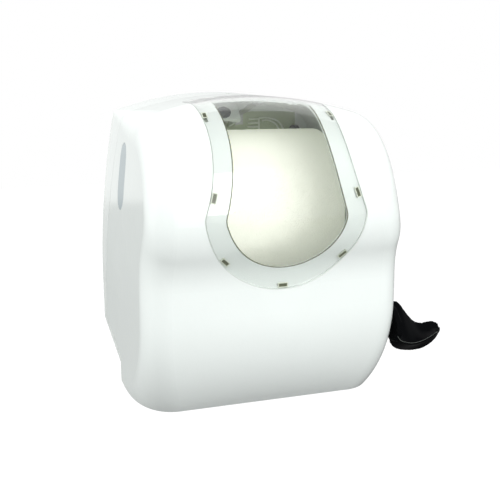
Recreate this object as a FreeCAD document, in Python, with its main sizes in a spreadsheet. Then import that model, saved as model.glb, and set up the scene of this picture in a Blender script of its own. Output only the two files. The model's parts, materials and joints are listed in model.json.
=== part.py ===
import FreeCAD, Part
import Sketcher
import math
import os

# Lever paper towel dispenser for a wall.  Millimetres.
# +X is to the right as the user sees it, -Y points to the user, +Z is up.
# The back face lies in the plane Y = 0, and the origin is the middle of the four wall
# screws.  Heights in the sheet are counted from the bottom rim of the cover.

doc = FreeCAD.newDocument("LeverTowelDispenser")
sheet = doc.addObject("Spreadsheet::Sheet", "Dims")


# ---------------------------------------------------------------- sizes and the sheet

class Size:
    """A length or an angle that carries its number and its formula in the sheet."""

    def __init__(self, value, formula=None):
        self.value = float(value)
        self.formula = formula if formula else repr(float(value))

    def __add__(self, other):
        other = size(other)
        return Size(self.value + other.value, f"({self.formula} + {other.formula})")

    def __sub__(self, other):
        other = size(other)
        return Size(self.value - other.value, f"({self.formula} - {other.formula})")

    def __mul__(self, other):
        other = size(other)
        return Size(self.value * other.value, f"({self.formula} * {other.formula})")

    def __truediv__(self, other):
        other = size(other)
        return Size(self.value / other.value, f"({self.formula} / {other.formula})")

    def __neg__(self):
        return Size(-self.value, f"(0 - {self.formula})")

    __radd__ = __add__
    __rmul__ = __mul__

    def __rsub__(self, other):
        return size(other) - self


def size(thing):
    """Any number as a Size."""
    return thing if isinstance(thing, Size) else Size(thing)


def sine(angle):
    return Size(math.sin(math.radians(angle.value)), f"sin({angle.formula})")


def cosine(angle):
    return Size(math.cos(math.radians(angle.value)), f"cos({angle.formula})")


def root(area):
    return Size(math.sqrt(area.value), f"sqrt({area.formula})")


def dim(alias, number, note):
    """Write one driving dimension into the sheet and hand it back as a Size."""
    dim.row += 1
    sheet.set(f"A{dim.row}", note)
    sheet.set(f"B{dim.row}", str(number))
    sheet.setAlias(f"B{dim.row}", alias)
    return Size(number, f"Dims.{alias}")


dim.row = 0

# mounting
mount_height = dim("mount_height", 190, "middle of the wall screws above the bottom rim")
screw_span_x = dim("screw_span_x", 200, "wall screws, sideways spacing")
screw_span_z = dim("screw_span_z", 160, "wall screws, upright spacing")
screw_hole = dim("screw_hole", 2.75, "radius of a wall screw hole")

# outer form, side view
front_reach = dim("front_reach", 292, "wall to the furthest point of the front")
bulge_height = dim("bulge_height", 218, "height of the furthest point of the front")
shoulder_radius = dim("shoulder_radius", 122, "round from the front up to the top")
top_fall = dim("top_fall", 1, "slope of the top towards the front, degrees")
belly_radius = dim("belly_radius", 75, "round of the front below its furthest point")
belly_turn = dim("belly_turn", 29.6, "angle that the belly turns through, degrees")
waist_radius = dim("waist_radius", 67, "hollow of the waist")
waist_flat = dim("waist_flat", 30, "upright stretch below the waist")
rim_reach = dim("rim_reach", 223, "wall to the front of the bottom rim")
front_crown = dim("front_crown", 1300, "crown of the front from side to side")
dome_radius = dim("dome_radius", 375, "crown of the top from side to side")
rear_lip = dim("rear_lip", 113, "wall to the lower rear edge of the cover")
lip_height = dim("lip_height", 24, "height of the lower rear edge of the cover")
heel_height = dim("heel_height", 48, "bottom of the back plate above the rim")

# outer form, front view
back_half_width = dim("back_half_width", 154, "half width at the wall")
front_half_width = dim("front_half_width", 142, "half width at the front limit")
side_break = dim("side_break", 105, "height where the sides start to lean in")
back_lean_radius = dim("back_lean_radius", 1040, "curve of the sides at the wall")
front_lean_radius = dim("front_lean_radius", 2400, "curve of the sides at the front")
corner_round = dim("corner_round", 31, "round between front and sides")
shoulder_round = dim("shoulder_round", 42, "the same round at the shoulder")
foot_round = dim("foot_round", 46, "the same round at the bottom rim")
back_round = dim("back_round", 8, "the same round at the wall")

# shells
shell_wall = dim("shell_wall", 3, "wall of the cover and the chassis rim")
wall_stock = dim("wall_stock", 1, "stock behind the wall face, taken off to leave it flat")

# clear window: half widths and heights of its outline on the front
panel_thickness = dim("panel_thickness", 2.5, "clear window panel")
fit_gap = dim("fit_gap", 0.3, "gap round a part that drops into a recess")
ledge_wall = dim("ledge_wall", 2.6, "ledge under the window's border")
border_bottom = dim("border_bottom", 145.5, "lowest point of the window's border")
border_bowl = dim("border_bowl", 86.5, "round of the border's lower part")
border_neck = dim("border_neck", 72.2, "half width of the border at its neck")
border_neck_height = dim("border_neck_height", 303, "height of the border's neck")
border_flank = dim("border_flank", 225, "hollow of the border's flanks")
border_corner = dim("border_corner", 22, "round between the bowl and the flanks")
opening_bottom = dim("opening_bottom", 169.5, "lowest point of the opening")
opening_bowl = dim("opening_bowl", 66, "round of the opening's lower part")
opening_neck = dim("opening_neck", 52, "half width of the opening at its neck")
opening_neck_height = dim("opening_neck_height", 308, "height of the opening's neck")
opening_flank = dim("opening_flank", 300, "hollow of the opening's flanks")
opening_corner = dim("opening_corner", 16, "round between its bowl and flanks")
panel_rear = dim("panel_rear", 140, "wall to the rear edge of the panel on the top")
opening_rear = dim("opening_rear", 158, "wall to the rear edge of the opening on the top")
clip_length = dim("clip_length", 11, "length of a snap hook")
clip_depth = dim("clip_depth", 9, "reach of a snap hook behind the front")
clip_width = dim("clip_width", 3.8, "width of the slot over a snap hook")

# seam between cover and chassis, and the side windows
seam_gap = dim("seam_gap", 0.8, "gap along the seam")
seam_foot = dim("seam_foot", 12, "wall to the lower end of the seam")
seam_knee = dim("seam_knee", 50, "wall to the seam at the knee")
knee_height = dim("knee_height", 215, "height of the seam's knee")
seam_top = dim("seam_top", 88, "wall to the seam at the top")
seam_radius = dim("seam_radius", 400, "curve of the seam above the knee")
strip = dim("strip", 7, "chassis strip that shows below the cover")
floor_wall = dim("floor_wall", 5.5, "chassis floor")
slot_reach = dim("slot_reach", 121, "wall to the middle of a side window")
slot_height = dim("slot_height", 250, "height of the middle of a side window")
slot_length = dim("slot_length", 78, "length of a side window")
slot_width = dim("slot_width", 40, "width of a side window")
lens_lip = dim("lens_lip", 2, "lip of a side window's insert behind the cover")

# cover hinge
hinge_reach = dim("hinge_reach", 125, "wall to the cover hinge")
hinge_height = dim("hinge_height", 12, "height of the cover hinge")
hinge_pin = dim("hinge_pin", 3, "radius of a cover hinge pin")
hinge_ear = dim("hinge_ear", 8, "radius round the hinge pin")
running_gap = dim("running_gap", 0.05, "radial clearance of a running fit")
ear_inside = dim("ear_inside", 132, "inner face of a chassis hinge ear")
ear_wall = dim("ear_wall", 7, "thickness of a hinge ear")
mouth_half = dim("mouth_half", 108, "half width of the towel mouth")
mouth_front = dim("mouth_front", 207, "wall to the front of the mouth")
mouth_rear = dim("mouth_rear", 135, "wall to the rear of the mouth")

# feed mechanism
frame_inside = dim("frame_inside", 112, "inner face of a side frame")
frame_wall = dim("frame_wall", 4, "thickness of a side frame")
feed_reach = dim("feed_reach", 150, "wall to the feed roller axis")
feed_height = dim("feed_height", 62, "height of the feed roller axis")
feed_radius = dim("feed_radius", 16, "radius over the rubber tyres")
feed_core_radius = dim("feed_core_radius", 13.5, "radius of the feed roller core")
feed_shaft_radius = dim("feed_shaft_radius", 4, "radius of the feed shaft")
pinch_radius = dim("pinch_radius", 9, "radius of the pinch roller")
pinch_axle_radius = dim("pinch_axle_radius", 3, "radius of the pinch axle")
pinch_travel = dim("pinch_travel", 2, "how far the pinch roller gives way")
nip_gap = dim("nip_gap", 0.3, "towel gap between the rollers")
tooth_module = dim("tooth_module", 1.5, "module of the gears")
sector_teeth = dim("sector_teeth", 58, "teeth of the full circle of the sector")
pinion_teeth = dim("pinion_teeth", 14, "teeth of the pinion")
gear_face = dim("gear_face", 7, "width of the gears")
gear_start = dim("gear_start", 119, "inner face of the gears")
backlash = dim("backlash", 0.25, "backlash on each flank of the gears")
bush_wall = dim("bush_wall", 2.5, "wall of the plain bushes")

# lever
lever_shaft_radius = dim("lever_shaft_radius", 5, "radius of the lever shaft")
lever_inside = dim("lever_inside", 152.5, "inner face of the lever arm")
lever_arm_wall = dim("lever_arm_wall", 7, "thickness of the lever arm")
lever_boss = dim("lever_boss", 13, "radius of the lever boss")

# towel roll
roll_radius = dim("roll_radius", 96.5, "radius of the towel roll")
roll_half_width = dim("roll_half_width", 101.5, "half width of the towel roll")
roll_reach = dim("roll_reach", 106, "wall to the axis of the roll")
roll_height = dim("roll_height", 204, "height of the axis of the roll")
core_radius = dim("core_radius", 20, "outer radius of the cardboard core")
core_wall = dim("core_wall", 1.5, "wall of the cardboard core")
arm_inside = dim("arm_inside", 104, "inner face of a roll arm")
arm_wall = dim("arm_wall", 5, "thickness of a roll arm")
arm_top = dim("arm_top", 302, "height of the top of a roll arm")
hub_spigot = dim("hub_spigot", 6, "radius of a hub spigot")

# lock
lock_reach = dim("lock_reach", 50, "wall to the middle of the lock's face")
lock_height = dim("lock_height", 322, "height of the middle of the lock's face")
lock_tilt = dim("lock_tilt", 37, "lock axis above level, degrees")
lock_radius = dim("lock_radius", 8.5, "radius of the lock barrel")
lock_length = dim("lock_length", 22, "length of the lock barrel")
block_half = dim("block_half", 21, "half width of the lock block")
block_bottom = dim("block_bottom", 298, "height of the bottom of the lock block")

# tear bar
tear_height = dim("tear_height", 10, "height of the points of the tear bar")
tear_wall = dim("tear_wall", 1.2, "thickness of the tear bar")
tooth_pitch = dim("tooth_pitch", 6, "pitch of the tear bar's teeth")
tooth_depth = dim("tooth_depth", 3, "depth of the tear bar's teeth")


def level(height):
    """A height above the bottom rim, as a height above the origin."""
    return height - mount_height


# ---------------------------------------------------------------- drawing helpers

PLANES = {
    "YZ": FreeCAD.Rotation(FreeCAD.Vector(1, 1, 1), 120),
    "XZ": FreeCAD.Rotation(FreeCAD.Vector(1, 0, 0), 90),
    "XY": FreeCAD.Rotation(),
}


def vec(x, y, z=0.0):
    return FreeCAD.Vector(x, y, z)


def arc_between(start, end, radius, side):
    """The short arc from start to end, bulging to the left (side 1) or right (side -1)."""
    chord = end - start
    half = chord.Length / 2
    rise = math.sqrt(max(radius * radius - half * half, 0.0))
    left = vec(-chord.y, chord.x) * (side / chord.Length)
    crown = (start + end) * 0.5 + left * (radius - rise)
    # a sketch keeps its arcs anticlockwise
    return Part.Arc(end, crown, start) if side > 0 else Part.Arc(start, crown, end)


def draw(sketch, corners, rounds=None, circles=()):
    """Draw a closed outline and tie every corner and radius to the sheet.

    corners is a list of (across, up) Sizes; rounds maps the number of an edge to its
    (radius, side); circles is a list of (across, up, radius)."""
    rounds = rounds or {}
    points = [vec(a.value, b.value) for a, b in corners]
    count = len(points)
    first = sketch.GeometryCount
    ends = []
    for i in range(count):
        start, end = points[i], points[(i + 1) % count]
        if i in rounds:
            radius, side = rounds[i]
            sketch.addGeometry(arc_between(start, end, radius.value, side), False)
            ends.append((2, 1) if side > 0 else (1, 2))
        else:
            sketch.addGeometry(Part.LineSegment(start, end), False)
            ends.append((1, 2))
    for i, (across, up) in enumerate(corners):
        geo = first + i
        tie(sketch, "DistanceX", (-1, 1, geo, ends[i][0]), across)
        tie(sketch, "DistanceY", (-1, 1, geo, ends[i][0]), up)
        after = (i + 1) % count
        sketch.addConstraint(Sketcher.Constraint("Coincident", geo, ends[i][1],
                                                 first + after, ends[after][0]))
        if i in rounds:
            tie(sketch, "Radius", (geo,), rounds[i][0])
    for across, up, radius in circles:
        geo = sketch.addGeometry(Part.Circle(vec(across.value, up.value), vec(0, 0, 1),
                                             radius.value), False)
        tie(sketch, "DistanceX", (-1, 1, geo, 3), across)
        tie(sketch, "DistanceY", (-1, 1, geo, 3), up)
        tie(sketch, "Radius", (geo,), radius)


def tie(sketch, kind, where, amount):
    """One dimension of a sketch, bound to its formula."""
    index = sketch.addConstraint(Sketcher.Constraint(kind, *where, amount.value))
    sketch.setExpression(f"Constraints[{index}]", amount.formula)


def free_sketch(name, plane, offset, corners, rounds=None, circles=()):
    """A sketch on a plane parallel to one of the main planes."""
    sketch = doc.addObject("Sketcher::SketchObject", name)
    sketch.Placement = FreeCAD.Placement(vec(0, 0, 0), PLANES[plane])
    along = {"YZ": "x", "XZ": "y", "XY": "z"}[plane]
    sketch.setExpression(f"Placement.Base.{along}", size(offset).formula)
    draw(sketch, corners, rounds, circles)
    return sketch


def loft(name, sections, ruled):
    solid = doc.addObject("Part::Loft", name)
    solid.Sections = sections
    solid.Solid = True
    solid.Ruled = ruled
    return solid


# ---------------------------------------------------------------- outer form

heel_slope = (heel_height - lip_height) / rear_lip


def side_section(name, station, inset, hollow):
    """One upright slice of the outer form, parallel to the YZ plane."""
    sag = station * station / (dome_radius * 2)
    reach = front_reach - station * station / (front_crown * 2)
    shoulder = shoulder_radius - sag
    top_y = shoulder - reach - (shoulder - inset) * sine(top_fall)
    top_z = bulge_height + (shoulder - inset) * cosine(top_fall)
    back = -shell_wall if hollow else wall_stock
    top_back = top_z + (back - top_y) * sine(top_fall) / cosine(top_fall)
    front = (inset - reach, bulge_height)
    belly_y = belly_radius - reach - (belly_radius - inset) * cosine(belly_turn)
    belly_z = bulge_height - (belly_radius - inset) * sine(belly_turn)
    hollow_y = belly_y - (waist_radius + inset) * cosine(belly_turn)
    waist = (hollow_y + waist_radius + inset,
             belly_z - (waist_radius + inset) * sine(belly_turn))
    # the chin runs on from the waist without a break and ends on the bottom rim
    chin_top = (waist[0], waist[1] - waist_flat)
    tuck = -rim_reach - (waist[0] - inset)
    chin = (tuck * tuck + chin_top[1] * chin_top[1]) / (tuck * 2) - inset
    drop = chin_top[1] - inset
    rim = (waist[0] + chin - root(chin * chin - drop * drop), inset)
    if hollow:
        foot = [(back, inset)]
    else:
        foot = [(back, heel_height + heel_slope * back), (-rear_lip, lip_height),
                (-rear_lip, size(0))]
    corners = foot + [rim, chin_top, waist, (belly_y, belly_z), front, (top_y, top_z),
                      (back, top_back)]
    base = len(foot)
    rounds = {base: (chin, 1), base + 2: (waist_radius + inset, -1),
              base + 3: (belly_radius - inset, 1), base + 4: (shoulder - inset, 1)}
    return free_sketch(name, "YZ", station, [(y, level(z)) for y, z in corners], rounds)


def side_outline(name, depth, half_width, lean_radius, inset):
    """Front view of the two sides at one depth; it runs past the form above and below."""
    wide = half_width - inset
    below, above = level(size(-20)), level(size(380))
    rise = size(380) - side_break
    lean = lean_radius - inset
    narrow = wide - lean + root(lean * lean - rise * rise)
    corners = [(-wide, below), (wide, below), (wide, level(side_break)), (narrow, above),
               (-narrow, above), (-wide, level(side_break))]
    return free_sketch(name, "XZ", depth, corners, {2: (lean, -1), 4: (lean, -1)})


def body_form(name, inset, hollow):
    """The outer form of the whole dispenser, or the same form drawn in by inset."""
    stations = [-160, -80, 0, 80, 160]
    slices = [side_section(f"{name}Slice{i}", size(x), inset, hollow)
              for i, x in enumerate(stations)]
    bulk = loft(f"{name}Bulk", slices, False)
    sides = loft(f"{name}Sides", [
        side_outline(f"{name}SideBack", size(10), back_half_width, back_lean_radius, inset),
        side_outline(f"{name}SideFront", size(-320), front_half_width, front_lean_radius,
                     inset)], True)
    form = doc.addObject("Part::MultiCommon", name)
    form.Shapes = [bulk, sides]
    return form


def rim_round(point):
    """Radius of the round between the sides and the rest, where it passes a point."""
    if point.y > -1:
        return back_round.value
    if point.z > level(bulge_height).value + 40:
        return shoulder_round.value
    if point.z < level(size(10)).value:
        return foot_round.value
    return corner_round.value


def rounded_form(name, inset, hollow):
    """The body form with its long side edges rounded off."""
    form = body_form(f"{name}Sharp", inset, hollow)
    doc.recompute()
    edges = []
    for number, edge in enumerate(form.Shape.Edges, 1):
        start, end = edge.Vertexes[0].Point, edge.Vertexes[-1].Point
        sideways = min(abs(start.x), abs(end.x)) > 120 and abs(start.x - end.x) < 20
        front = max(start.y, end.y) < -(rear_lip.value + 10)
        over = min(start.z, end.z) > 0
        flat = abs(start.z - end.z) < 1
        if sideways and (over or (front and not flat)):
            edges.append((number, rim_round(start) - inset.value, rim_round(end) - inset.value))
    rounded = doc.addObject("Part::Fillet", name)
    rounded.Base = form
    rounded.Edges = edges
    return rounded


# ---------------------------------------------------------------- solids

nodes = []


def node(solid, label):
    """Name a finished sub-part and keep it for export."""
    solid.Label = label
    nodes.append(solid)
    return solid


def place(solid, x, y, z, rotation=None):
    """Bind the position of a solid; z is a height above the bottom rim."""
    if rotation is not None:
        solid.Placement = FreeCAD.Placement(vec(0, 0, 0), rotation)
    solid.setExpression("Placement.Base.x", size(x).formula)
    solid.setExpression("Placement.Base.y", size(y).formula)
    solid.setExpression("Placement.Base.z", level(size(z)).formula)
    return solid


def bind(solid, **sizes):
    """Bind named properties of a solid to their formulas."""
    for name, amount in sizes.items():
        solid.setExpression(name, size(amount).formula)
    return solid


def block(name, x0, x1, y0, y1, z0, z1):
    """A box between two corners."""
    box = doc.addObject("Part::Box", name)
    bind(box, Length=x1 - size(x0), Width=y1 - size(y0), Height=z1 - size(z0))
    return place(box, x0, y0, z0)


ALONG = {
    "X": FreeCAD.Rotation(vec(0, 1, 0), 90),
    "Y": FreeCAD.Rotation(vec(1, 0, 0), -90),
    "Z": FreeCAD.Rotation(),
}


def rod(name, along, start, end, first, second, radius):
    """A cylinder along one axis; first and second place it on the other two."""
    bar = doc.addObject("Part::Cylinder", name)
    bind(bar, Radius=radius, Height=end - size(start))
    spot = {"X": (start, first, second), "Y": (first, start, second),
            "Z": (first, second, start)}[along]
    return place(bar, *spot, ALONG[along])


def prism(name, plane, start, end, corners, rounds=None, circles=()):
    """An outline pushed from start to end; corners are (across, height) or (x, y)."""
    upright = plane != "XY"
    flat = [(a, level(size(b)) if upright else b) for a, b in corners]
    rings = [(a, level(size(b)) if upright else b, r) for a, b, r in circles]
    near = level(size(start)) if plane == "XY" else start
    sketch = free_sketch(f"{name}Outline", plane, near, flat, rounds, rings)
    solid = doc.addObject("Part::Extrusion", name)
    solid.Base = sketch
    solid.DirMode = "Normal"
    solid.Solid = True
    span = size(start) - end if plane == "XZ" else end - size(start)
    return bind(solid, LengthFwd=span)


def fuse(name, *shapes):
    solid = doc.addObject("Part::MultiFuse", name)
    solid.Shapes = list(shapes)
    return solid


def common(name, *shapes):
    solid = doc.addObject("Part::MultiCommon", name)
    solid.Shapes = list(shapes)
    return solid


def cut(name, base, *tools):
    """base less every tool."""
    tool = tools[0] if len(tools) == 1 else fuse(f"{name}Tools", *tools)
    solid = doc.addObject("Part::Cut", name)
    solid.Base = base
    solid.Tool = tool
    return solid


def group(name, *shapes):
    solid = doc.addObject("Part::Compound", name)
    solid.Links = list(shapes)
    return solid


def origin_plane(body, role):
    return [f for f in body.Origin.OriginFeatures if f.Role == role][0]


def body_sketch(body, name, role, corners, rounds=None, circles=()):
    """A sketch on one of a body's own origin planes."""
    sketch = body.newObject("Sketcher::SketchObject", name)
    sketch.AttachmentSupport = (origin_plane(body, role), [""])
    sketch.MapMode = "FlatFace"
    draw(sketch, corners, rounds, circles)
    return sketch


def turned(label, profile, x, y, z, rotation=None):
    """A body turned about its own X axis; profile is a list of (along, radius)."""
    body = doc.addObject("PartDesign::Body", f"Body_{label}")
    corners = [(size(a), size(b)) for a, b in profile]
    sketch = body_sketch(body, f"Profile_{label}", "XY_Plane", corners)
    turn = body.newObject("PartDesign::Revolution", f"Turn_{label}")
    turn.Profile = sketch
    turn.ReferenceAxis = (sketch, ["H_Axis"])
    turn.Angle = 360
    return place(body, x, y, z, rotation)


def ring(label, start, end, inner, outer_radius, y, z):
    """A turned sleeve along X between two stations."""
    return turned(label, [(0, inner), (end - size(start), inner),
                          (end - size(start), outer_radius), (0, outer_radius)],
                  start, y, z)


# ---------------------------------------------------------------- forms of the shells

outer = rounded_form("OuterForm", size(0), False)
panel_back = rounded_form("PanelBackForm", panel_thickness, True)
ledge_face = rounded_form("LedgeFaceForm", panel_thickness + fit_gap, True)
inner = rounded_form("InnerForm", shell_wall, True)
ledge_back = rounded_form("LedgeBackForm", panel_thickness + fit_gap + ledge_wall, True)

def floor_line(reach, above):
    """A point on the sloping underside of the chassis, lifted by above."""
    return (-reach, heel_height - heel_slope * reach + above)


def seam_zone(name, gap):
    """The zone in front of the seam, or with a gap the zone behind it."""
    line = [floor_line(rear_lip - gap, strip - gap), floor_line(seam_foot - gap, strip - gap),
            (gap - seam_knee, knee_height), (gap - seam_top, size(345))]
    far = size(-400) if gap.value == 0 else size(60)
    lip = -rear_lip + gap
    frame = [(far, size(-20)), (lip, size(-20))] + line + [(gap - seam_top, size(420)),
                                                          (far, size(420))]
    return prism(name, "YZ", size(-200), size(200), frame, {4: (seam_radius, -1)})


def shield(name, rear, low, bowl, neck, neck_height, flank, corner, grow, flare):
    """The window's outline, pushed forwards from rear: a round bowl below, flanks drawn in
    to a neck, and tangent corners between them.  grow moves the whole line outwards."""
    middle = low + bowl
    across, up = neck + flank, neck_height - middle
    reach = root(across * across + up * up)
    near, far = bowl - corner, flank + corner
    along = (near * near - far * far + reach * reach) / (reach * 2)
    off = root(near * near - along * along)
    corner_x = (along * across + off * up) / reach
    corner_z = middle + (along * up - off * across) / reach
    share = (bowl + grow) / near
    first = (corner_x * share, middle + (corner_z - middle) * share)
    share = (corner + grow) / far
    second = (corner_x + (across - corner_x) * share, corner_z + (neck_height - corner_z) * share)
    rise = size(334) - neck_height
    third = (across - root((flank - grow) * (flank - grow) - rise * rise), size(334))
    right = [first, second, third]
    turns = [(corner + grow, -1), (flank - grow, 1)]
    if flare:
        right.append((third[0] + 10, size(352)))
        turns.append((size(45), 1))
    else:
        right.append((third[0], size(380)))
        turns.append(None)
    left = [(-x, z) for x, z in reversed(right)]
    turns = turns + [None] + turns[::-1] + [(bowl + grow, -1)]
    rounds = {i: turn for i, turn in enumerate(turns) if turn}
    return prism(name, "XZ", rear, size(-400), right + left, rounds)


def border(name, grow):
    """The outline of the clear panel."""
    return shield(name, grow - panel_rear, border_bottom, border_bowl, border_neck,
                  border_neck_height, border_flank, border_corner, size(grow), True)


def opening(name):
    """The clear opening behind the panel."""
    return shield(name, -opening_rear, opening_bottom, opening_bowl, opening_neck,
                  opening_neck_height, opening_flank, opening_corner, size(0), False)


def side_window(name, x0, x1, grow):
    """The rounded upright outline of a side window, pushed along X."""
    half = slot_width / 2 + grow
    rise = slot_length / 2 - slot_width / 2
    corners = [(-slot_reach - half, slot_height - rise), (-slot_reach + half, slot_height - rise),
               (-slot_reach + half, slot_height + rise), (-slot_reach - half, slot_height + rise)]
    bow = half + 0.01
    return prism(name, "YZ", x0, x1, corners, {0: (bow, -1), 2: (bow, -1)})


cover_zone = seam_zone("CoverZone", size(0))
chassis_zone = seam_zone("ChassisZone", seam_gap)
skin = cut("Skin", outer, inner)


# ---------------------------------------------------------------- snap hooks of the window

def front_face(height):
    """Y of the front at the middle of the dispenser, above or below the bulge."""
    if height >= bulge_height.value:
        lift = size(height) - bulge_height
        return shoulder_radius - front_reach - root(shoulder_radius * shoulder_radius
                                                    - lift * lift)
    lift = bulge_height - height
    if height > 175:
        return belly_radius - front_reach - root(belly_radius * belly_radius - lift * lift)
    return (belly_radius - front_reach - (belly_radius + waist_radius) * cosine(belly_turn)
            + waist_radius)


def tilted_block(name, along, across, depth, spot, rotation, shift):
    """A box centred on spot along its first two sides; its depth runs inwards from shift."""
    box = doc.addObject("Part::Box", name)
    bind(box, Length=along, Width=across, Height=depth)
    turn = rotation.multVec(vec(1, 0, 0)), rotation.multVec(vec(0, 1, 0)), \
        rotation.multVec(vec(0, 0, 1))
    box.Placement = FreeCAD.Placement(vec(0, 0, 0), rotation)
    for i, axis in enumerate("xyz"):
        start = (size(spot[i]) - along * (turn[0][i] / 2) - across * (turn[1][i] / 2)
                 + size(shift) * turn[2][i])
        if axis == "z":
            start = level(start)
        box.setExpression(f"Placement.Base.{axis}", start.formula)
    return box


def inward(pitch, spin):
    """Turn a box so that its height runs into the front; pitch tips it, spin rolls it."""
    return (FreeCAD.Rotation(vec(1, 0, 0), -90 - pitch)
            * FreeCAD.Rotation(vec(0, 0, 1), spin))


# across, height, pitch of the front there, and spin along the border
clip_places = [(0, 149.2, 0, 0)]
for hand in (-1, 1):
    clip_places += [(hand * 63.8, 179, -31.5, hand * -50), (hand * 76.2, 245, 12.8, hand * 75),
                    (hand * 69.4, 322, 58.5, hand * 95)]
hooks, slots = [], []
for i, (x, z, pitch, spin) in enumerate(clip_places):
    y = front_face(z) + (size(x * x) / (front_crown * 2))
    turn = inward(pitch, spin)
    hook = tilted_block(f"Hook{i}", clip_length - 2, clip_width - 1.9, clip_depth,
                        (x, y, z), turn, 1)
    barb = tilted_block(f"Barb{i}", clip_length - 3, clip_width - 0.8, size(1.6),
                        (x, y, z), turn, clip_depth - 0.6)
    hooks.append(fuse(f"HookAndBarb{i}", hook, barb))
    slots.append(tilted_block(f"Slot{i}", clip_length, clip_width, clip_depth + 4,
                              (x, y, z), turn, -2))

# ---------------------------------------------------------------- window panel

panel_skin = cut("PanelSkin", outer, panel_back)
panel_sheet = common("PanelSheet", panel_skin, border("PanelOutline", -fit_gap))
hook_zone = cut("HookZone", fuse("AllHooks", *hooks), cut("OutsideOfPanel", block(
    "Everything", size(-160), size(160), size(-330), size(5), size(-5), size(350)), outer))
node(fuse("WindowPanel", panel_sheet, hook_zone), "window_panel")

# ---------------------------------------------------------------- front cover

gear_distance = tooth_module * (sector_teeth + pinion_teeth) / 2
lever_reach, lever_height = feed_reach - gear_distance, feed_height
swing_across, swing_up = hinge_reach - lever_reach, lever_height - hinge_height
swing_radius = root(swing_across * swing_across + swing_up * swing_up)
swing_room = lever_shaft_radius + 5.5

recess = cut("Recess", border("RecessOutline", size(0)), ledge_face)
ledge_band = cut("LedgeBand", ledge_face, ledge_back)
ledge = common("Ledge", ledge_band, border("LedgeOutline", size(6)))
cover_skin = common("CoverSkin", skin, cover_zone)
lug_start = ear_inside + ear_wall + 0.6
cover_lugs = []
for hand, side in ((-1, "Left"), (1, "Right")):
    near, far = (lug_start, size(152)) if hand > 0 else (size(-152), -lug_start)
    eye = rod(f"LugEye{side}", "X", near, far, -hinge_reach, hinge_height, hinge_ear)
    web = block(f"LugWeb{side}", near, far, -hinge_reach - hinge_ear, -hinge_reach + 6,
                size(1), hinge_height)
    cover_lugs += [eye, web]
boss_spots = [size(98), size(112)]
strike_x = block_half + 6.5
strike_level = size(333.5)
strike_bosses = [rod(f"StrikeBoss{i}", "Z", strike_level, size(341), strike_x, -reach, size(4))
                 for i, reach in enumerate(boss_spots)]
cover_bulk = common("CoverBulk", fuse("CoverParts", cover_skin, ledge, *cover_lugs,
                                      *strike_bosses), outer)
swing_ring = cut("SwingRing", rod("SwingOuter", "X", size(140), size(160), -hinge_reach,
                                  hinge_height, swing_radius + swing_room),
                 rod("SwingInner", "X", size(139), size(161), -hinge_reach, hinge_height,
                     swing_radius - swing_room))
swing_slot = common("SwingSlot", swing_ring, block("SwingPart", size(139), size(161),
                                                   -lever_reach - lever_boss, size(0),
                                                   size(5), size(90)))
hinge_bore = hinge_pin + running_gap
pin_end = size(145.5)
cover_cuts = [recess, opening("Opening"), *slots,
              side_window("SideWindows", size(-170), size(170), size(0)),
              block("Mouth", -mouth_half, mouth_half, -mouth_front, -mouth_rear, size(-5),
                    shell_wall + 1),
              swing_slot,
              rod("CoverHingeBore", "X", -pin_end - 0.5, pin_end + 0.5, -hinge_reach, hinge_height,
                  hinge_bore)]
for hand, side in ((-1, "Left"), (1, "Right")):
    near, far = ((ear_inside - 0.8, lug_start) if hand > 0
                 else (-lug_start, 0.8 - ear_inside))
    cover_cuts.append(block(f"EarNotch{side}", near, far, -hinge_reach - 12, size(-100),
                            size(-5), shell_wall + 1))
for i, reach in enumerate(boss_spots):
    cover_cuts.append(rod(f"StrikeHole{i}", "Z", size(325), strike_level + 4.5, strike_x,
                          -reach, size(1.5)))
node(cut("FrontCover", cover_bulk, *cover_cuts), "front_cover")

# clear inserts of the side windows: a plug in the wall and a lip behind it
lens_plugs = common("LensPlugs", skin, side_window("LensOutline", size(-170), size(170),
                                                   -fit_gap))
lens_lips = common("LensLips", cut("LensBand", inner, ledge_back),
                   side_window("LensLipOutline", size(-170), size(170), lens_lip))
node(fuse("SideLenses", lens_plugs, lens_lips), "side_lenses")

# ---------------------------------------------------------------- back chassis

chassis_rim = common("ChassisRim", skin, chassis_zone)
floor_slab = prism("FloorSlab", "YZ", size(-170), size(170), [
    floor_line(rear_lip - seam_gap, size(0)), floor_line(size(0), size(0)),
    floor_line(size(0), floor_wall), floor_line(rear_lip - seam_gap, floor_wall)])
chassis_floor = common("ChassisFloor", floor_slab, outer)

ear_parts = []
arm_room = arm_inside + arm_wall
for hand, side in ((-1, "Left"), (1, "Right")):
    near = ear_inside if hand > 0 else -ear_inside - ear_wall
    far = near + ear_wall
    eye = rod(f"Eye{side}", "X", near, far, -hinge_reach, hinge_height, hinge_ear)
    web = prism(f"EyeWeb{side}", "YZ", near, far, [
        (-hinge_reach - 2, hinge_height + hinge_ear - 0.5),
        (-hinge_reach + hinge_ear - 1, hinge_height - 3),
        floor_line(rear_lip - 6, size(1)), floor_line(rear_lip - 14, floor_wall + 5)])
    ear_parts += [eye, web]

# lock block: two cheeks and a tilted front plate
lock_sine, lock_cosine = sine(lock_tilt), cosine(lock_tilt)


def along_lock(back, up):
    """(y, height) of a point behind the lock's face and up along its plate."""
    return (-lock_reach + lock_cosine * back + lock_sine * up,
            lock_height - lock_sine * back + lock_cosine * up)


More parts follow.
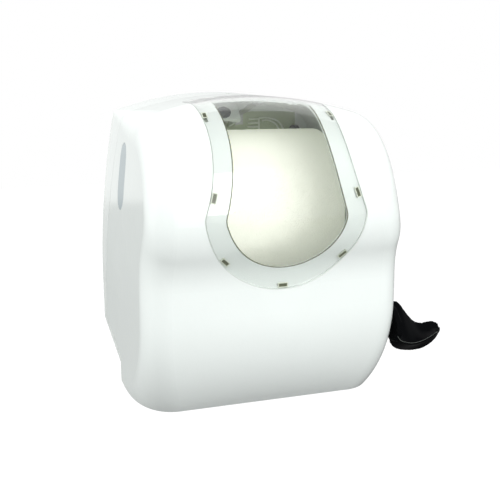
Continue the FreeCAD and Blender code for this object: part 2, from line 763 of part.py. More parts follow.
plate_step, plate_wall = size(2), size(6)
block_outline = [along_lock(plate_step, size(-12)), along_lock(plate_step, size(27)),
                 (size(-2), along_lock(plate_step, size(27))[1]), (size(-2), block_bottom)]
plate_outline = [along_lock(plate_step, size(-12)), along_lock(plate_step, size(27)),
                 along_lock(plate_step + plate_wall, size(27)),
                 along_lock(plate_step + plate_wall, size(-12))]
cheek_wall = size(4)
lock_cheeks = [prism(f"LockCheek{i}", "YZ", x, x + cheek_wall, block_outline)
               for i, x in enumerate((-block_half, block_half - cheek_wall))]
lock_plate = prism("LockPlate", "YZ", -block_half, block_half, plate_outline)
lock_block = common("LockBlock", fuse("LockBlockParts", *lock_cheeks, lock_plate), outer)

# lugs that carry the swinging left arm
pivot_x, pivot_reach = arm_room + 4, size(14)
lug_low, lug_high, lug_wall = size(176), size(224), size(8)
lugs = []
for i, z in enumerate((lug_low, lug_high)):
    lugs.append(block(f"Lug{i}", -pivot_x - 7, -pivot_x + 7, -pivot_reach, size(-2), z,
                      z + lug_wall))
    lugs.append(rod(f"LugNose{i}", "Z", z, z + lug_wall, -pivot_x, -pivot_reach, size(7)))

# ribs on the back plate behind the roll, and screw bosses
ribs = [block(f"Rib{i}", size(-86), size(86), size(-5), size(-2), size(z), size(z + 2.5))
        for i, z in enumerate((126, 204, 282))]
ribs += [block(f"UprightRib{i}", size(x), size(x + 2.5), size(-5), size(-2), size(126),
               size(284)) for i, x in enumerate((-62, 59.5))]


def lock_rod(name, start, end, radius):
    """A cylinder along the lock's axis, between two depths behind its face."""
    bar = doc.addObject("Part::Cylinder", name)
    bind(bar, Radius=radius, Height=size(end) - size(start))
    bar.Placement = FreeCAD.Placement(vec(0, 0, 0), LOCK_TURN)
    y, z = along_lock(size(start), size(0))
    bar.setExpression("Placement.Base.y", y.formula)
    bar.setExpression("Placement.Base.z", level(z).formula)
    return bar


# the cylinder's own Z axis runs from the face backwards and down
LOCK_TURN = FreeCAD.Rotation(vec(1, 0, 0), -90 - lock_tilt.value)

chassis_bulk = fuse("ChassisBulk", chassis_rim, chassis_floor, *ear_parts, lock_block, *lugs,
                    *ribs)
chassis_cuts = [block("WallSide", size(-200), size(200), size(0), size(5), size(-5), size(350))]
chassis_cuts += [rod(f"WallHole{i}", "Y", size(-20), size(5), size(x), z, screw_hole)
                for i, (x, z) in enumerate(
                    [(screw_span_x * (hx / 2), mount_height + screw_span_z * (hz / 2))
                     for hx in (-1, 1) for hz in (-1, 1)])]
frame_screw = size(1.6)
frame_screw_x = frame_inside + frame_wall + 6
frame_screw_spots = [size(66), size(88)]
for hand, side in ((-1, "Left"), (1, "Right")):
    near = ear_inside - 1 if hand > 0 else -ear_inside - ear_wall - 1
    chassis_cuts.append(rod(f"EyeBore{side}", "X", near, near + ear_wall + 2, -hinge_reach,
                            hinge_height, hinge_bore))
    for i, z in enumerate(frame_screw_spots):
        chassis_cuts.append(rod(f"FrameScrewHole{side}{i}", "Y", size(-9), size(-0.8),
                                frame_screw_x * hand, z, frame_screw + 0.05))
arm_screw_x = arm_inside + arm_wall + 6
arm_screw_spots = [size(184), size(286)]
for i, z in enumerate(arm_screw_spots):
    chassis_cuts.append(rod(f"ArmScrewHole{i}", "Y", size(-9), size(-0.8), arm_screw_x, z,
                            frame_screw + 0.05))
pivot_pin = size(2.5)
chassis_cuts.append(rod("PivotBore", "Z", lug_low - 1, lug_high + lug_wall + 1, -pivot_x,
                        -pivot_reach, pivot_pin + running_gap))
key_hole = size(4.5)
cam_radius, cam_wall, cam_back = size(27), size(2.5), lock_length
chassis_cuts += [lock_rod("LockBore", size(-4), size(20), lock_radius + 0.05),
                 lock_rod("KeyHole", size(-60), size(-15), key_hole)]
cam_slot = tilted_block("CamSlot", size(34), size(32), cam_wall + 1.2,
                        (size(26), *along_lock(size(0), size(-10.5))),
                        LOCK_TURN, cam_back - 0.6)
chassis_cuts.append(cam_slot)
node(cut("BackChassis", chassis_bulk, *chassis_cuts), "back_chassis")

# ---------------------------------------------------------------- cover hinge pins

pin_start = ear_inside - 1
hinge_pins = []
for hand, side in ((-1, "Left"), (1, "Right")):
    profile = [(0, 0), (pin_end - pin_start, 0), (pin_end - pin_start, hinge_pin),
               (1.6, hinge_pin), (1.6, hinge_pin + 2), (0, hinge_pin + 2)]
    turn = None if hand > 0 else FreeCAD.Rotation(vec(0, 0, 1), 180)
    hinge_pins.append(turned(f"HingePin{side}", profile, (pin_start - 1.7) * hand,
                             -hinge_reach, hinge_height, turn))
node(group("HingePins", *hinge_pins), "cover_hinge_pins")

# ---------------------------------------------------------------- lock


def lock_turned(label, profile):
    """A body turned about the lock's axis; profile is a list of (depth, radius)."""
    y, z = along_lock(size(0), size(0))
    return turned(label, profile, 0, y, z, LOCK_TURN * FreeCAD.Rotation(vec(0, 1, 0), -90))


plug_radius = size(5.4)
barrel = lock_turned("LockBarrel", [(0, plug_radius + running_gap), (20, plug_radius + running_gap),
                                    (20, lock_radius), (plate_step, lock_radius),
                                    (plate_step, lock_radius + 1.2), (0, lock_radius + 1)])
node(barrel, "lock_barrel")
nut_start = plate_step + plate_wall
nut_outline = []
nut_size = lock_radius + 4
for k in range(6):
    angle = size(60 * k)
    nut_outline.append((nut_size * cosine(angle), nut_size * sine(angle)))
nut_body = doc.addObject("PartDesign::Body", "Body_LockNut")
nut_sketch = body_sketch(nut_body, "Outline_LockNut", "XY_Plane", nut_outline, None,
                         [(size(0), size(0), lock_radius + 0.02)])
nut_pad = nut_body.newObject("PartDesign::Pad", "Pad_LockNut")
nut_pad.Profile = nut_sketch
bind(nut_pad, Length=size(4.5))
nut_y, nut_z = along_lock(nut_start, size(0))
node(place(nut_body, 0, nut_y, nut_z, LOCK_TURN), "lock_nut")

plug_round = lock_turned("LockPlug", [(0.4, 0), (cam_back + cam_wall, 0),
                                      (cam_back + cam_wall, 3.4), (cam_back, 3.4),
                                      (cam_back, plug_radius), (0.4, plug_radius)])
key_slot = tilted_block("KeySlot", size(1.4), size(7.5), size(9),
                        (size(0), *along_lock(size(0), size(0))), LOCK_TURN, -1)
node(cut("LockPlugCut", plug_round, key_slot), "lock_plug")
cam_y, cam_z = along_lock(cam_back + 0.02, size(0))
cam_body = doc.addObject("PartDesign::Body", "Body_LockCam")
cam_tip, cam_hub, cam_square = size(4.5), size(7), size(3.42)
cam_sketch = body_sketch(cam_body, "Outline_LockCam", "XY_Plane", [
    (cam_hub, size(0)), (cam_tip, cam_radius - cam_tip), (-cam_tip, cam_radius - cam_tip),
    (-cam_hub, size(0))], {1: (cam_tip + 0.01, -1), 3: (cam_hub + 0.01, -1)},
    [(size(0), size(0), cam_square)])
cam_pad = cam_body.newObject("PartDesign::Pad", "Pad_LockCam")
cam_pad.Profile = cam_sketch
bind(cam_pad, Length=cam_wall)
node(place(cam_body, 0, cam_y, cam_z, LOCK_TURN), "lock_cam")
node(lock_turned("CamScrew", [(cam_back + cam_wall + 0.02, 0), (cam_back + cam_wall + 0.02, 5),
                              (cam_back + cam_wall + 2, 4), (cam_back + cam_wall + 2, 0)]),
     "cam_screw")

# strike plate under the top of the cover; the cam of the lock holds its tongue
tongue_reach = lock_reach - 22.8
strap = prism("StrikeStrap", "YZ", strike_x - 5, strike_x + 5, [
    (size(-118), strike_level), (size(-118), strike_level - 1.5),
    (size(-92), strike_level - 1.5), (-tongue_reach, size(317)), (-tongue_reach, size(302)),
    (-tongue_reach + 1.5, size(302)), (-tongue_reach + 1.5, size(318.2)),
    (size(-91.7), strike_level)])
strap_holes = [rod(f"StrapHole{i}", "Z", size(325), size(340), strike_x, -reach, size(1.6))
               for i, reach in enumerate(boss_spots)]
node(cut("StrikePlate", strap, *strap_holes), "strike_plate")
UPWARDS = FreeCAD.Rotation(vec(0, 1, 0), -90)
node(group("StrikeScrews", *[turned(f"StrikeScrew{i}", [
    (0, 0), (7, 0), (7, 1.45), (1.4, 1.45), (1.4, 2.8), (0, 2.8)], strike_x, -reach,
    strike_level - 1.5 - 1.4, UPWARDS) for i, reach in enumerate(boss_spots)]),
    "strike_screws")

# ---------------------------------------------------------------- side frames

frame_outside = frame_inside + frame_wall
pinch_reach = feed_reach - feed_radius - pinch_radius - nip_gap
feed_bush_radius = feed_shaft_radius + bush_wall
lever_bush_radius = lever_shaft_radius + bush_wall
block_gap = size(0.3)
carriage_half, carriage_length = size(7), size(13)
frame_bottom, frame_top, frame_front = size(33), size(96), feed_reach + 44

frame_outline = [(size(-3), size(58)), floor_line(rear_lip - 6, floor_wall + 1),
                 (size(-120), frame_bottom), (-frame_front, frame_bottom),
                 (-frame_front, size(54)), (-feed_reach - 22, size(88)), (size(-60), frame_top),
                 (size(-3), frame_top)]
slot_front = -pinch_reach - carriage_length / 2 - block_gap
slot_back = -pinch_reach + carriage_length / 2 + pinch_travel + size(10.6)


def side_frame(side, hand):
    """One mechanism frame: a plate with a rear flange, its bores and the pinch slot."""
    def span(a, b):
        return (a, b) if hand > 0 else (-b, -a)
    near, far = span(frame_inside, frame_outside)
    sheet_metal = prism(f"Frame{side}Sheet", "YZ", near, far, frame_outline)
    a, b = span(frame_inside, frame_outside + 12)
    flange = block(f"Frame{side}Flange", a, b, size(-6), size(-3), size(58), frame_top)
    a, b = span(frame_inside, frame_outside + 2)
    boss = rod(f"Frame{side}Boss", "X", a, b, -feed_reach, feed_height, feed_bush_radius + 3)
    parts = [sheet_metal, flange, boss]
    slot_near, slot_far = span(frame_inside - 1, frame_outside + 3)
    bores = [rod(f"Frame{side}FeedBore", "X", near - 1, far + 3 if hand > 0 else far + 1,
                 -feed_reach, feed_height, feed_bush_radius + 0.02),
             block(f"Frame{side}Slot", slot_near, slot_far, slot_front, slot_back,
                   feed_height - carriage_half - block_gap,
                   feed_height + carriage_half + block_gap)]
    if hand < 0:
        bores[0] = rod("FrameLeftFeedBore", "X", near - 3, far + 1, -feed_reach, feed_height,
                       feed_bush_radius + 0.02)
    for i, z in enumerate(frame_screw_spots):
        bores.append(rod(f"Frame{side}ScrewHole{i}", "Y", size(-7), size(-2),
                         frame_screw_x * hand, z, frame_screw + 0.3))
    if hand > 0:
        parts.append(rod("LeverBossRight", "X", near, far + 2, -lever_reach, lever_height,
                         lever_bush_radius + 3))
        bores.append(rod("LeverBoreRight", "X", near - 1, far + 3, -lever_reach, lever_height,
                         lever_bush_radius + 0.02))
        for i, (reach, z) in enumerate(post_spots):
            parts.append(rod(f"Post{i}", "X", near, gear_cover_start, -reach, z, size(4)))
            bores.append(rod(f"PostBore{i}", "X", gear_cover_start - 8, gear_cover_start + 1,
                             -reach, z, size(1.3)))
        for i, (angle, radius) in enumerate(stop_spots):
            parts.append(rod(f"StopPost{i}", "X", near, gear_start + gear_face,
                             -lever_reach + radius * cosine(angle),
                             lever_height + radius * sine(angle), size(2.6)))
    for i, z in enumerate((size(38), size(48))):
        bores.append(rod(f"Frame{side}BarHole{i}", "X", near - 1, far + 1,
                         -bar_reach - bar_depth / 2, z, frame_screw + 0.05))
    return cut(f"Frame{side}", fuse(f"Frame{side}Bulk", *parts), *bores)


gear_cover_start = size(132)
post_spots = [(lever_reach - 34, lever_height + 24), (lever_reach - 34, lever_height - 12),
              (feed_reach + 12, feed_height - 22), (feed_reach + 16, feed_height + 22)]
stop_spots = [(size(115.76), size(30)), (size(245.64), size(30))]
bar_reach, bar_depth = feed_reach + 29, size(10)
node(side_frame("Left", -1), "left_frame")
node(side_frame("Right", 1), "right_frame")


def pan_screw(name, along, x, y, z, radius, length):
    """A pan-head screw; its head's outer face is at the given point, its shank goes along."""
    turns = {"+X": None, "-X": FreeCAD.Rotation(vec(0, 0, 1), 180),
             "+Y": FreeCAD.Rotation(vec(0, 0, 1), 90), "+Z": UPWARDS,
             "-Y": FreeCAD.Rotation(vec(0, 0, 1), -90)}
    head, rise = radius * 1.9, radius * 1.2
    length = size(length)
    return turned(name, [(0, 0), (length, 0), (length, radius), (rise, radius), (rise, head),
                         (rise * 0.4, head), (0, head * 0.75)], x, y, z, turns[along])


frame_screws = [pan_screw(f"FrameScrew{hand}{i}", "+Y", frame_screw_x * hand,
                          size(-6) - frame_screw * 1.2, z, frame_screw, 6.6)
                for hand in (-1, 1) for i, z in enumerate(frame_screw_spots)]
node(group("FrameScrews", *frame_screws), "frame_screws")

# front cross bar between the frames, and the tear bar on its rear face
bar_low, bar_high = size(33.5), size(52)
bar = prism("CrossBarAngle", "YZ", -frame_inside, frame_inside, [
    (-bar_reach, bar_low), (-bar_reach, bar_high), (-bar_reach - bar_depth, bar_high),
    (-bar_reach - bar_depth, bar_low), (-bar_reach - bar_depth + 2.5, bar_low),
    (-bar_reach - bar_depth + 2.5, bar_high - 2.5), (-bar_reach - 2.5, bar_high - 2.5),
    (-bar_reach - 2.5, bar_low)])
bar_ends = [block(f"BarEnd{i}", x, x + 3, -bar_reach - bar_depth, -bar_reach, bar_low, bar_high)
            for i, x in enumerate((-frame_inside, frame_inside - 3))]
tear_screw_spots = [size(-80), size(0), size(80)]
bar_cuts = [rod(f"TearHole{i}", "Y", -bar_reach - 5, -bar_reach + 1, x, size(43), size(1.3))
            for i, x in enumerate(tear_screw_spots)]
for i, z in enumerate((size(38), size(48))):
    bar_cuts.append(rod(f"BarHole{i}", "X", -frame_inside - 1, frame_inside + 1,
                        -bar_reach - bar_depth / 2, z, frame_screw + 0.05))
node(cut("CrossBar", fuse("CrossBarBulk", bar, *bar_ends), *bar_cuts), "front_cross_bar")
bar_screws = []
for i, z in enumerate((size(38), size(48))):
    bar_screws.append(pan_screw(f"BarScrewLeft{i}", "+X", -frame_outside - frame_screw * 1.2,
                                -bar_reach - bar_depth / 2, z, frame_screw, 8))
    bar_screws.append(pan_screw(f"BarScrewRight{i}", "-X", frame_outside + frame_screw * 1.2,
                                -bar_reach - bar_depth / 2, z, frame_screw, 8))
node(group("BarScrews", *bar_screws), "cross_bar_screws")

tear_half = frame_inside - 1.5
teeth = int(tear_half.value * 2 / tooth_pitch.value)
pitch = tear_half * 2 / teeth
tear_outline = [(tear_half, size(49)), (-tear_half, size(49))]
for k in range(teeth):
    left = -tear_half + pitch * k
    tear_outline.append((left, tear_height + tooth_depth))
    tear_outline.append((left + pitch / 2, tear_height))
tear_outline.append((tear_half, tear_height + tooth_depth))
tear_blade = prism("TearBlade", "XZ", -bar_reach + tear_wall, -bar_reach, tear_outline)
node(cut("TearBar", tear_blade, *[rod(f"BladeHole{i}", "Y", -bar_reach - 1, -bar_reach + 3, x,
                                      size(43), size(1.6))
                                  for i, x in enumerate(tear_screw_spots)]), "tear_bar")
node(group("TearScrews", *[pan_screw(f"TearScrew{i}", "-Y", x,
                                     -bar_reach + tear_wall + 1.5, size(43), size(1.25), 6)
                           for i, x in enumerate(tear_screw_spots)]), "tear_bar_screws")

# curved guide under the feed roller
guide_inner, guide_outer = feed_radius + 2.5, feed_radius + 4.5


def on_feed(radius, angle):
    return (-feed_reach + radius * cosine(angle), feed_height + radius * sine(angle))


guide_angles = size(-38), size(-100)
guide_nose = -feed_reach - 18
guide_outline = [on_feed(guide_outer, guide_angles[0]), on_feed(guide_inner, guide_angles[0]),
                 on_feed(guide_inner, guide_angles[1]), (guide_nose, feed_height - 31),
                 (guide_nose, feed_height - 33.5), on_feed(guide_outer, guide_angles[1] + 2)]
guide = prism("Guide", "YZ", -frame_inside, frame_inside, guide_outline,
              {1: (guide_inner, 1), 5: (guide_outer, -1)})
node(guide, "lower_paper_guide")

# ---------------------------------------------------------------- feed roller

wheel_start = frame_outside + 2.4
feed_end = gear_cover_start + 5
feed_start = -(wheel_start + 13)
node(turned("FeedShaft", [(0, 0), (feed_end - feed_start, 0),
                          (feed_end - feed_start, feed_shaft_radius - 0.6),
                          (feed_end - feed_start - 0.6, feed_shaft_radius),
                          (0.6, feed_shaft_radius), (0, feed_shaft_radius - 0.6)],
            feed_start, -feed_reach, feed_height), "feed_shaft")
core_half = size(106)
tyre_spots = [(size(-96), size(-60)), (size(-36), size(36)), (size(60), size(96))]
core_profile = [(size(0), feed_shaft_radius), (core_half * 2, feed_shaft_radius),
                (core_half * 2, feed_core_radius)]
for a, b in reversed(tyre_spots):
    core_profile += [(b + core_half, feed_core_radius), (b + core_half, feed_core_radius - 1.5),
                     (a + core_half, feed_core_radius - 1.5), (a + core_half, feed_core_radius)]
core_profile.append((size(0), feed_core_radius))
node(turned("FeedCore", core_profile, -core_half, -feed_reach, feed_height),
     "feed_roller_core")
node(group("FeedTyres", *[ring(f"FeedTyre{i}", a, b, feed_core_radius - 1.5, feed_radius,
                               -feed_reach, feed_height)
                          for i, (a, b) in enumerate(tyre_spots)]), "feed_roller_tyres")

flange_wall = size(1.2)
bush_outside = frame_outside + 2


def flanged_bush(name, hand, bore, outside, y, z):
    """A plain bush in a frame, with its flange on the inner side."""
    profile = [(0, bore), (bush_outside - frame_inside + flange_wall, bore),
               (bush_outside - frame_inside + flange_wall, outside), (flange_wall, outside),
               (flange_wall, outside + 2), (0, outside + 2)]
    turn = None if hand > 0 else FreeCAD.Rotation(vec(0, 0, 1), 180)
    return turned(name, profile, (frame_inside - flange_wall) * hand, y, z, turn)


node(group("FeedBushes", *[flanged_bush(f"FeedBush{hand}", hand,
                                        feed_shaft_radius + running_gap, feed_bush_radius,
                                        -feed_reach, feed_height) for hand in (-1, 1)]),
     "feed_shaft_bushes")

# thumb wheel on the left end of the feed shaft
wheel_radius, wheel_ribs = size(21), 24
wheel_body = doc.addObject("PartDesign::Body", "Body_ThumbWheel")
wheel_outline = []
for k in range(wheel_ribs):
    for turn_part, deep in ((0, 0), (0.5, 1.4)):
        angle = size((k + turn_part) * 360 / wheel_ribs)
        wheel_outline.append(((wheel_radius - deep) * cosine(angle),
                              (wheel_radius - deep) * sine(angle)))
wheel_sketch = body_sketch(wheel_body, "Outline_ThumbWheel", "YZ_Plane", wheel_outline, None,
                           [(size(0), size(0), feed_shaft_radius)])
wheel_pad = wheel_body.newObject("PartDesign::Pad", "Pad_ThumbWheel")
wheel_pad.Profile = wheel_sketch
bind(wheel_pad, Length=size(9))
place(wheel_body, -wheel_start - 9, -feed_reach, feed_height)
node(wheel_body, "thumb_wheel")

# ---------------------------------------------------------------- pinch roller

axle_half = frame_outside + 2.5
carriage_blocks = []
for hand, side in ((-1, "Left"), (1, "Right")):
    near, far = ((frame_inside - 2.2, frame_outside + 0.8) if hand > 0
                 else (-frame_outside - 0.8, 2.2 - frame_inside))
    body = block(f"Carriage{side}", near, far, -pinch_reach - carriage_length / 2,
                 -pinch_reach + carriage_length / 2, feed_height - carriage_half,
                 feed_height + carriage_half)
    near, far = ((frame_inside - 2.2, frame_inside - 0.3) if hand > 0
                 else (0.3 - frame_inside, 2.2 - frame_inside))
    cheek = block(f"CarriageCheek{side}", near, far, -pinch_reach - carriage_length / 2,
                  -pinch_reach + carriage_length / 2, feed_height - carriage_half - 2.5,
                  feed_height + carriage_half + 2.5)
    bore = rod(f"CarriageBore{side}", "X", size(-130) if hand < 0 else size(100),
               size(-100) if hand < 0 else size(130), -pinch_reach, feed_height,
               pinch_axle_radius + running_gap)
    carriage_blocks.append(cut(f"CarriageBlock{side}", fuse(f"CarriageBulk{side}", body, cheek),
                               bore))
node(group("PinchBlocks", *carriage_blocks), "pinch_bearing_blocks")
node(ring("PinchRollerTube", size(-104), size(104), pinch_axle_radius + running_gap, pinch_radius,
          -pinch_reach, feed_height), "pinch_roller")
node(turned("PinchAxle", [(0, 0), (axle_half * 2, 0), (axle_half * 2, pinch_axle_radius - 0.5),
                          (axle_half * 2 - 0.5, pinch_axle_radius), (0.5, pinch_axle_radius),
                          (0, pinch_axle_radius - 0.5)], -axle_half, -pinch_reach,
            feed_height), "pinch_axle")


def coil(name, wire, mean_radius, length, turns_of_wire):
    """A compression spring along +Z; each half turn of its wire is one leaning arc."""
    half_rise = (length - wire * 2) / turns_of_wire / 2
    bow = math.hypot(mean_radius, half_rise / 2)
    arcs = []
    for k in range(round(turns_of_wire * 2)):
        side = 1 if k % 2 == 0 else -1
        low = wire + k * half_rise
        arcs.append(Part.Arc(vec(side * mean_radius, 0, low),
                             vec(0, side * bow, low + half_rise / 2),
                             vec(-side * mean_radius, 0, low + half_rise)).toShape())
    section = Part.Wire(Part.Circle(vec(mean_radius, 0, wire), vec(0, 1, 0), wire).toShape())
    feature = doc.addObject("Part::Feature", name)
    feature.Shape = Part.Wire(arcs).makePipeShell([section], True, False)
    return feature


spring_gap = size(0.3)
spring_start = -pinch_reach + carriage_length / 2
springs = [place(coil(f"PressureSpring{hand}", 0.4, 3.4, 9.6, 6),
                 (frame_inside + frame_wall / 2) * hand, spring_start + spring_gap, feed_height,
                 FreeCAD.Rotation(vec(1, 0, 0), -90)) for hand in (-1, 1)]
node(group("PressureSprings", *springs), "pressure_springs")

# ---------------------------------------------------------------- gears

def involute(angle):
    """Involute function of a pressure angle in radians."""
    return math.tan(angle) - angle


def tooth_edges(teeth, centre, tip, foot):
    """Edges of one tooth about a centre angle, from its right root to its left root."""
    pitch_radius = tooth_module.value * teeth / 2
    pressure = math.radians(20)
    base = pitch_radius * math.cos(pressure)
    half = math.pi / (2 * teeth) - backlash.value / (2 * pitch_radius) + involute(pressure)

    def polar(radius, turn):
        return vec(0, radius * math.cos(turn), radius * math.sin(turn))

    start = max(base, foot) + 0.001
    radii = [start + (tip - start) * k / 4 for k in range(5)]
    turns_out = [half - involute(math.acos(min(base / radius, 1.0))) for radius in radii]
    right = [polar(radius, centre - turn) for radius, turn in zip(radii, turns_out)]
    left = [polar(radius, centre + turn) for radius, turn in zip(radii, turns_out)]
    foot_right, foot_left = polar(foot, centre - turns_out[0]), polar(foot, centre + turns_out[0])
    flank_right, flank_left = Part.BSplineCurve(), Part.BSplineCurve()
    flank_right.interpolate(right)
    flank_left.interpolate(list(reversed(left)))
    edges = [flank_right.toShape(), Part.Arc(right[-1], polar(tip, centre), left[-1]).toShape(),
             flank_left.toShape()]
    if start - foot > 0.01:
        edges.insert(0, Part.LineSegment(foot_right, right[0]).toShape())
        edges.append(Part.LineSegment(left[0], foot_left).toShape())
    else:
        foot_right, foot_left = right[0], left[0]
    return edges, foot_right, foot_left


def toothed_face(teeth, centres, tip, foot, closed):
    """A face bounded by teeth at the given angles; an open run closes at the middle."""
    edges, ends = [], []
    for centre in centres:
        tooth, first, last = tooth_edges(teeth, centre, tip, foot)
        if ends:
            edges.append(Part.LineSegment(ends[-1], first).toShape())
        edges += tooth
        ends += [first, last]
    if closed:
        edges.append(Part.LineSegment(ends[-1], ends[0]).toShape())
    else:
        edges.append(Part.LineSegment(ends[-1], vec(0, 0, 0)).toShape())
        edges.append(Part.LineSegment(vec(0, 0, 0), ends[0]).toShape())
    return Part.Face(Part.Wire(Part.__sortEdges__(edges)))


doc.recompute()
unit = tooth_module.value
centre_distance = gear_distance.value
wheel_tip = unit * sector_teeth.value / 2 + 0.85 * unit
pinion_tip = unit * pinion_teeth.value / 2 + unit
mesh_gap = 0.3
wheel_foot = centre_distance - pinion_tip - mesh_gap
pinion_foot = centre_distance - wheel_tip - mesh_gap

pinion_blank = doc.addObject("Part::Feature", "PinionBlank")
pinion_count = int(pinion_teeth.value)
pinion_blank.Shape = toothed_face(
    pinion_count, [2 * math.pi * k / pinion_count for k in range(pinion_count)], pinion_tip,
    pinion_foot, True).extrude(vec(gear_face.value, 0, 0))
place(pinion_blank, gear_start, -feed_reach, feed_height)
clutch_radius = feed_shaft_radius + 2.4
node(cut("Pinion", pinion_blank, rod("PinionBore", "X", gear_start - 1, gear_start + 10,
                                     -feed_reach, feed_height, clutch_radius)), "pinion_gear")
node(ring("Clutch", gear_start - 0.6, gear_start + gear_face + 1.4, feed_shaft_radius,
          clutch_radius, -feed_reach, feed_height), "one_way_clutch")

# sector: teeth from a little behind the line of centres to a full stroke above it
step_angle = 2 * math.pi / sector_teeth.value
sector_centres = [math.pi + step_angle * (1.5 - k) for k in reversed(range(11))]
sector_blank = doc.addObject("Part::Feature", "SectorBlank")
sector_blank.Shape = toothed_face(sector_teeth.value, sector_centres, wheel_tip, wheel_foot,
                                  False).extrude(vec(gear_face.value, 0, 0))
place(sector_blank, gear_start, -lever_reach, lever_height)
sector_hub = rod("SectorHub", "X", gear_start, gear_start + gear_face, -lever_reach,
                 lever_height, size(12))
node(cut("Sector", fuse("SectorBulk", sector_blank, sector_hub),
         rod("SectorBore", "X", gear_start - 1, gear_start + 10, -lever_reach, lever_height,
             lever_shaft_radius)), "sector_gear")

node(group("StopBumpers", *[ring(f"Bumper{i}", gear_start - 0.5, gear_start + gear_face,
                                 size(2.62), size(4), -lever_reach + radius * cosine(angle),
                                 lever_height + radius * sine(angle))
                            for i, (angle, radius) in enumerate(stop_spots)]), "stop_bumpers")

cover_wall = size(3)
gear_cover_plate = prism("GearCoverPlate", "YZ", gear_cover_start, gear_cover_start + cover_wall, [
    (40 - lever_reach, lever_height - 18), (30 - lever_reach, lever_height - 22),
    (-feed_reach - 6, feed_height - 29), (-feed_reach - 18, feed_height - 26),
    (-feed_reach - 24, feed_height + 22), (-feed_reach - 16, feed_height + 30),
    (34 - lever_reach, lever_height + 33), (42 - lever_reach, lever_height + 26)])
gear_cover_cuts = [
    rod("CoverLeverBore", "X", size(120), size(150), -lever_reach, lever_height,
        lever_bush_radius + 0.02),
    rod("CoverFeedBore", "X", size(120), size(150), -feed_reach, feed_height,
        feed_shaft_radius + running_gap)]
for i, (reach, z) in enumerate(post_spots):
    gear_cover_cuts.append(rod(f"CoverPostHole{i}", "X", size(120), size(150), -reach, z,
                               size(1.6)))
node(cut("GearCover", gear_cover_plate, *gear_cover_cuts), "gear_cover")
node(group("GearCoverScrews", *[
    pan_screw(f"GearCoverScrew{i}", "-X", gear_cover_start + cover_wall + 1.5, -reach, z,
              size(1.25), 10) for i, (reach, z) in enumerate(post_spots)]), "gear_cover_screws")

# ---------------------------------------------------------------- lever

shaft_start = frame_inside - 3.4
lever_outside = lever_inside + lever_arm_wall
shaft_length, screw_radius = lever_outside - shaft_start, size(2)
node(turned("LeverShaft", [
    (0, 0), (shaft_length - 8, 0), (shaft_length - 8, screw_radius), (shaft_length, screw_radius),
    (shaft_length, lever_shaft_radius), (0.6, lever_shaft_radius),
    (0, lever_shaft_radius - 0.6)], shaft_start, -lever_reach, lever_height), "lever_shaft")
frame_bush = flanged_bush("LeverBushInner", 1, lever_shaft_radius + running_gap,
                          lever_bush_radius, -lever_reach, lever_height)
cover_bush = turned("LeverBushOuter", [
    (0, lever_shaft_radius + running_gap), (4.7, lever_shaft_radius + running_gap),
    (4.7, lever_bush_radius), (1.2, lever_bush_radius), (1.2, lever_bush_radius + 2),
    (0, lever_bush_radius + 2)], gear_cover_start - 1.2, -lever_reach, lever_height)
node(group("LeverBushes", frame_bush, cover_bush), "lever_shaft_bushes")
node(ring("LeverRing", shaft_start + 0.8, shaft_start + 1.8, lever_shaft_radius,
          lever_shaft_radius + 3, -lever_reach, lever_height), "lever_shaft_ring")
node(place(coil("LeverSpring", 0.5, 9, 4.0, 2), gear_start + gear_face + 0.6, -lever_reach,
           lever_height, FreeCAD.Rotation(vec(0, 1, 0), 90)), "lever_return_spring")

arm_outline = [(-lever_reach, lever_height + lever_boss), (size(-150), size(91)),
               (size(-198), size(102)), (size(-214), size(101.5)), (size(-243), size(83)),
               (size(-244), size(70)), (size(-236), size(64)), (size(-198), size(66)),
               (size(-150), size(57)), (-lever_reach, lever_height - lever_boss)]
lever_arm = prism("LeverArm", "YZ", lever_inside, lever_outside, arm_outline)
lever_eye = rod("LeverEye", "X", lever_inside, lever_outside, -lever_reach, lever_height,
                lever_boss)


def paddle_section(y, upper, lower):
    """A slice of the paddle at one depth: a smooth upper and a smooth lower curve."""
    above = [vec(x, y, level(size(z)).value) for x, z in upper]
    below = [vec(x, y, level(size(z)).value) for x, z in lower]
    top_curve, under_curve = Part.BSplineCurve(), Part.BSplineCurve()
    top_curve.interpolate(above)
    under_curve.interpolate(below)
    return Part.Wire([top_curve.toShape(), Part.LineSegment(above[-1], below[0]).toShape(),
                      under_curve.toShape(), Part.LineSegment(below[-1], above[0]).toShape()])


root_x = lever_inside.value
paddle = doc.addObject("Part::Feature", "Paddle")
paddle.Shape = Part.makeLoft([
    paddle_section(-244, [(root_x, 82), (157, 68), (170, 55), (188, 54), (206, 66)],
                   [(208.5, 61), (190, 46.5), (169, 46.5), (155.5, 60), (root_x, 66)]),
    paddle_section(-228, [(root_x, 94), (164, 83), (179, 67), (194, 63.5), (212, 69)],
                   [(214, 64), (195, 56), (176, 58), (160, 68), (root_x, 76)]),
    paddle_section(-212, [(root_x, 101), (168, 96.5), (183, 80.5), (198, 69), (217, 68)],
                   [(218, 63.5), (198, 62), (180, 70), (165, 82), (root_x, 88)])], True, False)
node(cut("Lever", fuse("LeverBulk", lever_arm, lever_eye, paddle),
         rod("LeverBore", "X", size(150), size(162), -lever_reach, lever_height,
             lever_shaft_radius)), "lever")
node(turned("LeverScrew", [(0, 0), (10, 0), (10, screw_radius - 0.05), (3, screw_radius - 0.05),
                           (3, 8), (0.8, 8), (0, 6.5)], lever_outside + 3, -lever_reach,
            lever_height, FreeCAD.Rotation(vec(0, 0, 1), 180)), "lever_screw")

# ---------------------------------------------------------------- roll, hubs and arms

node(ring("Core", -roll_half_width, roll_half_width, core_radius - core_wall, core_radius,
          -roll_reach, roll_height), "towel_core")
node(ring("Towel", -roll_half_width, roll_half_width, core_radius, roll_radius, -roll_reach,
          roll_height), "towel_roll")

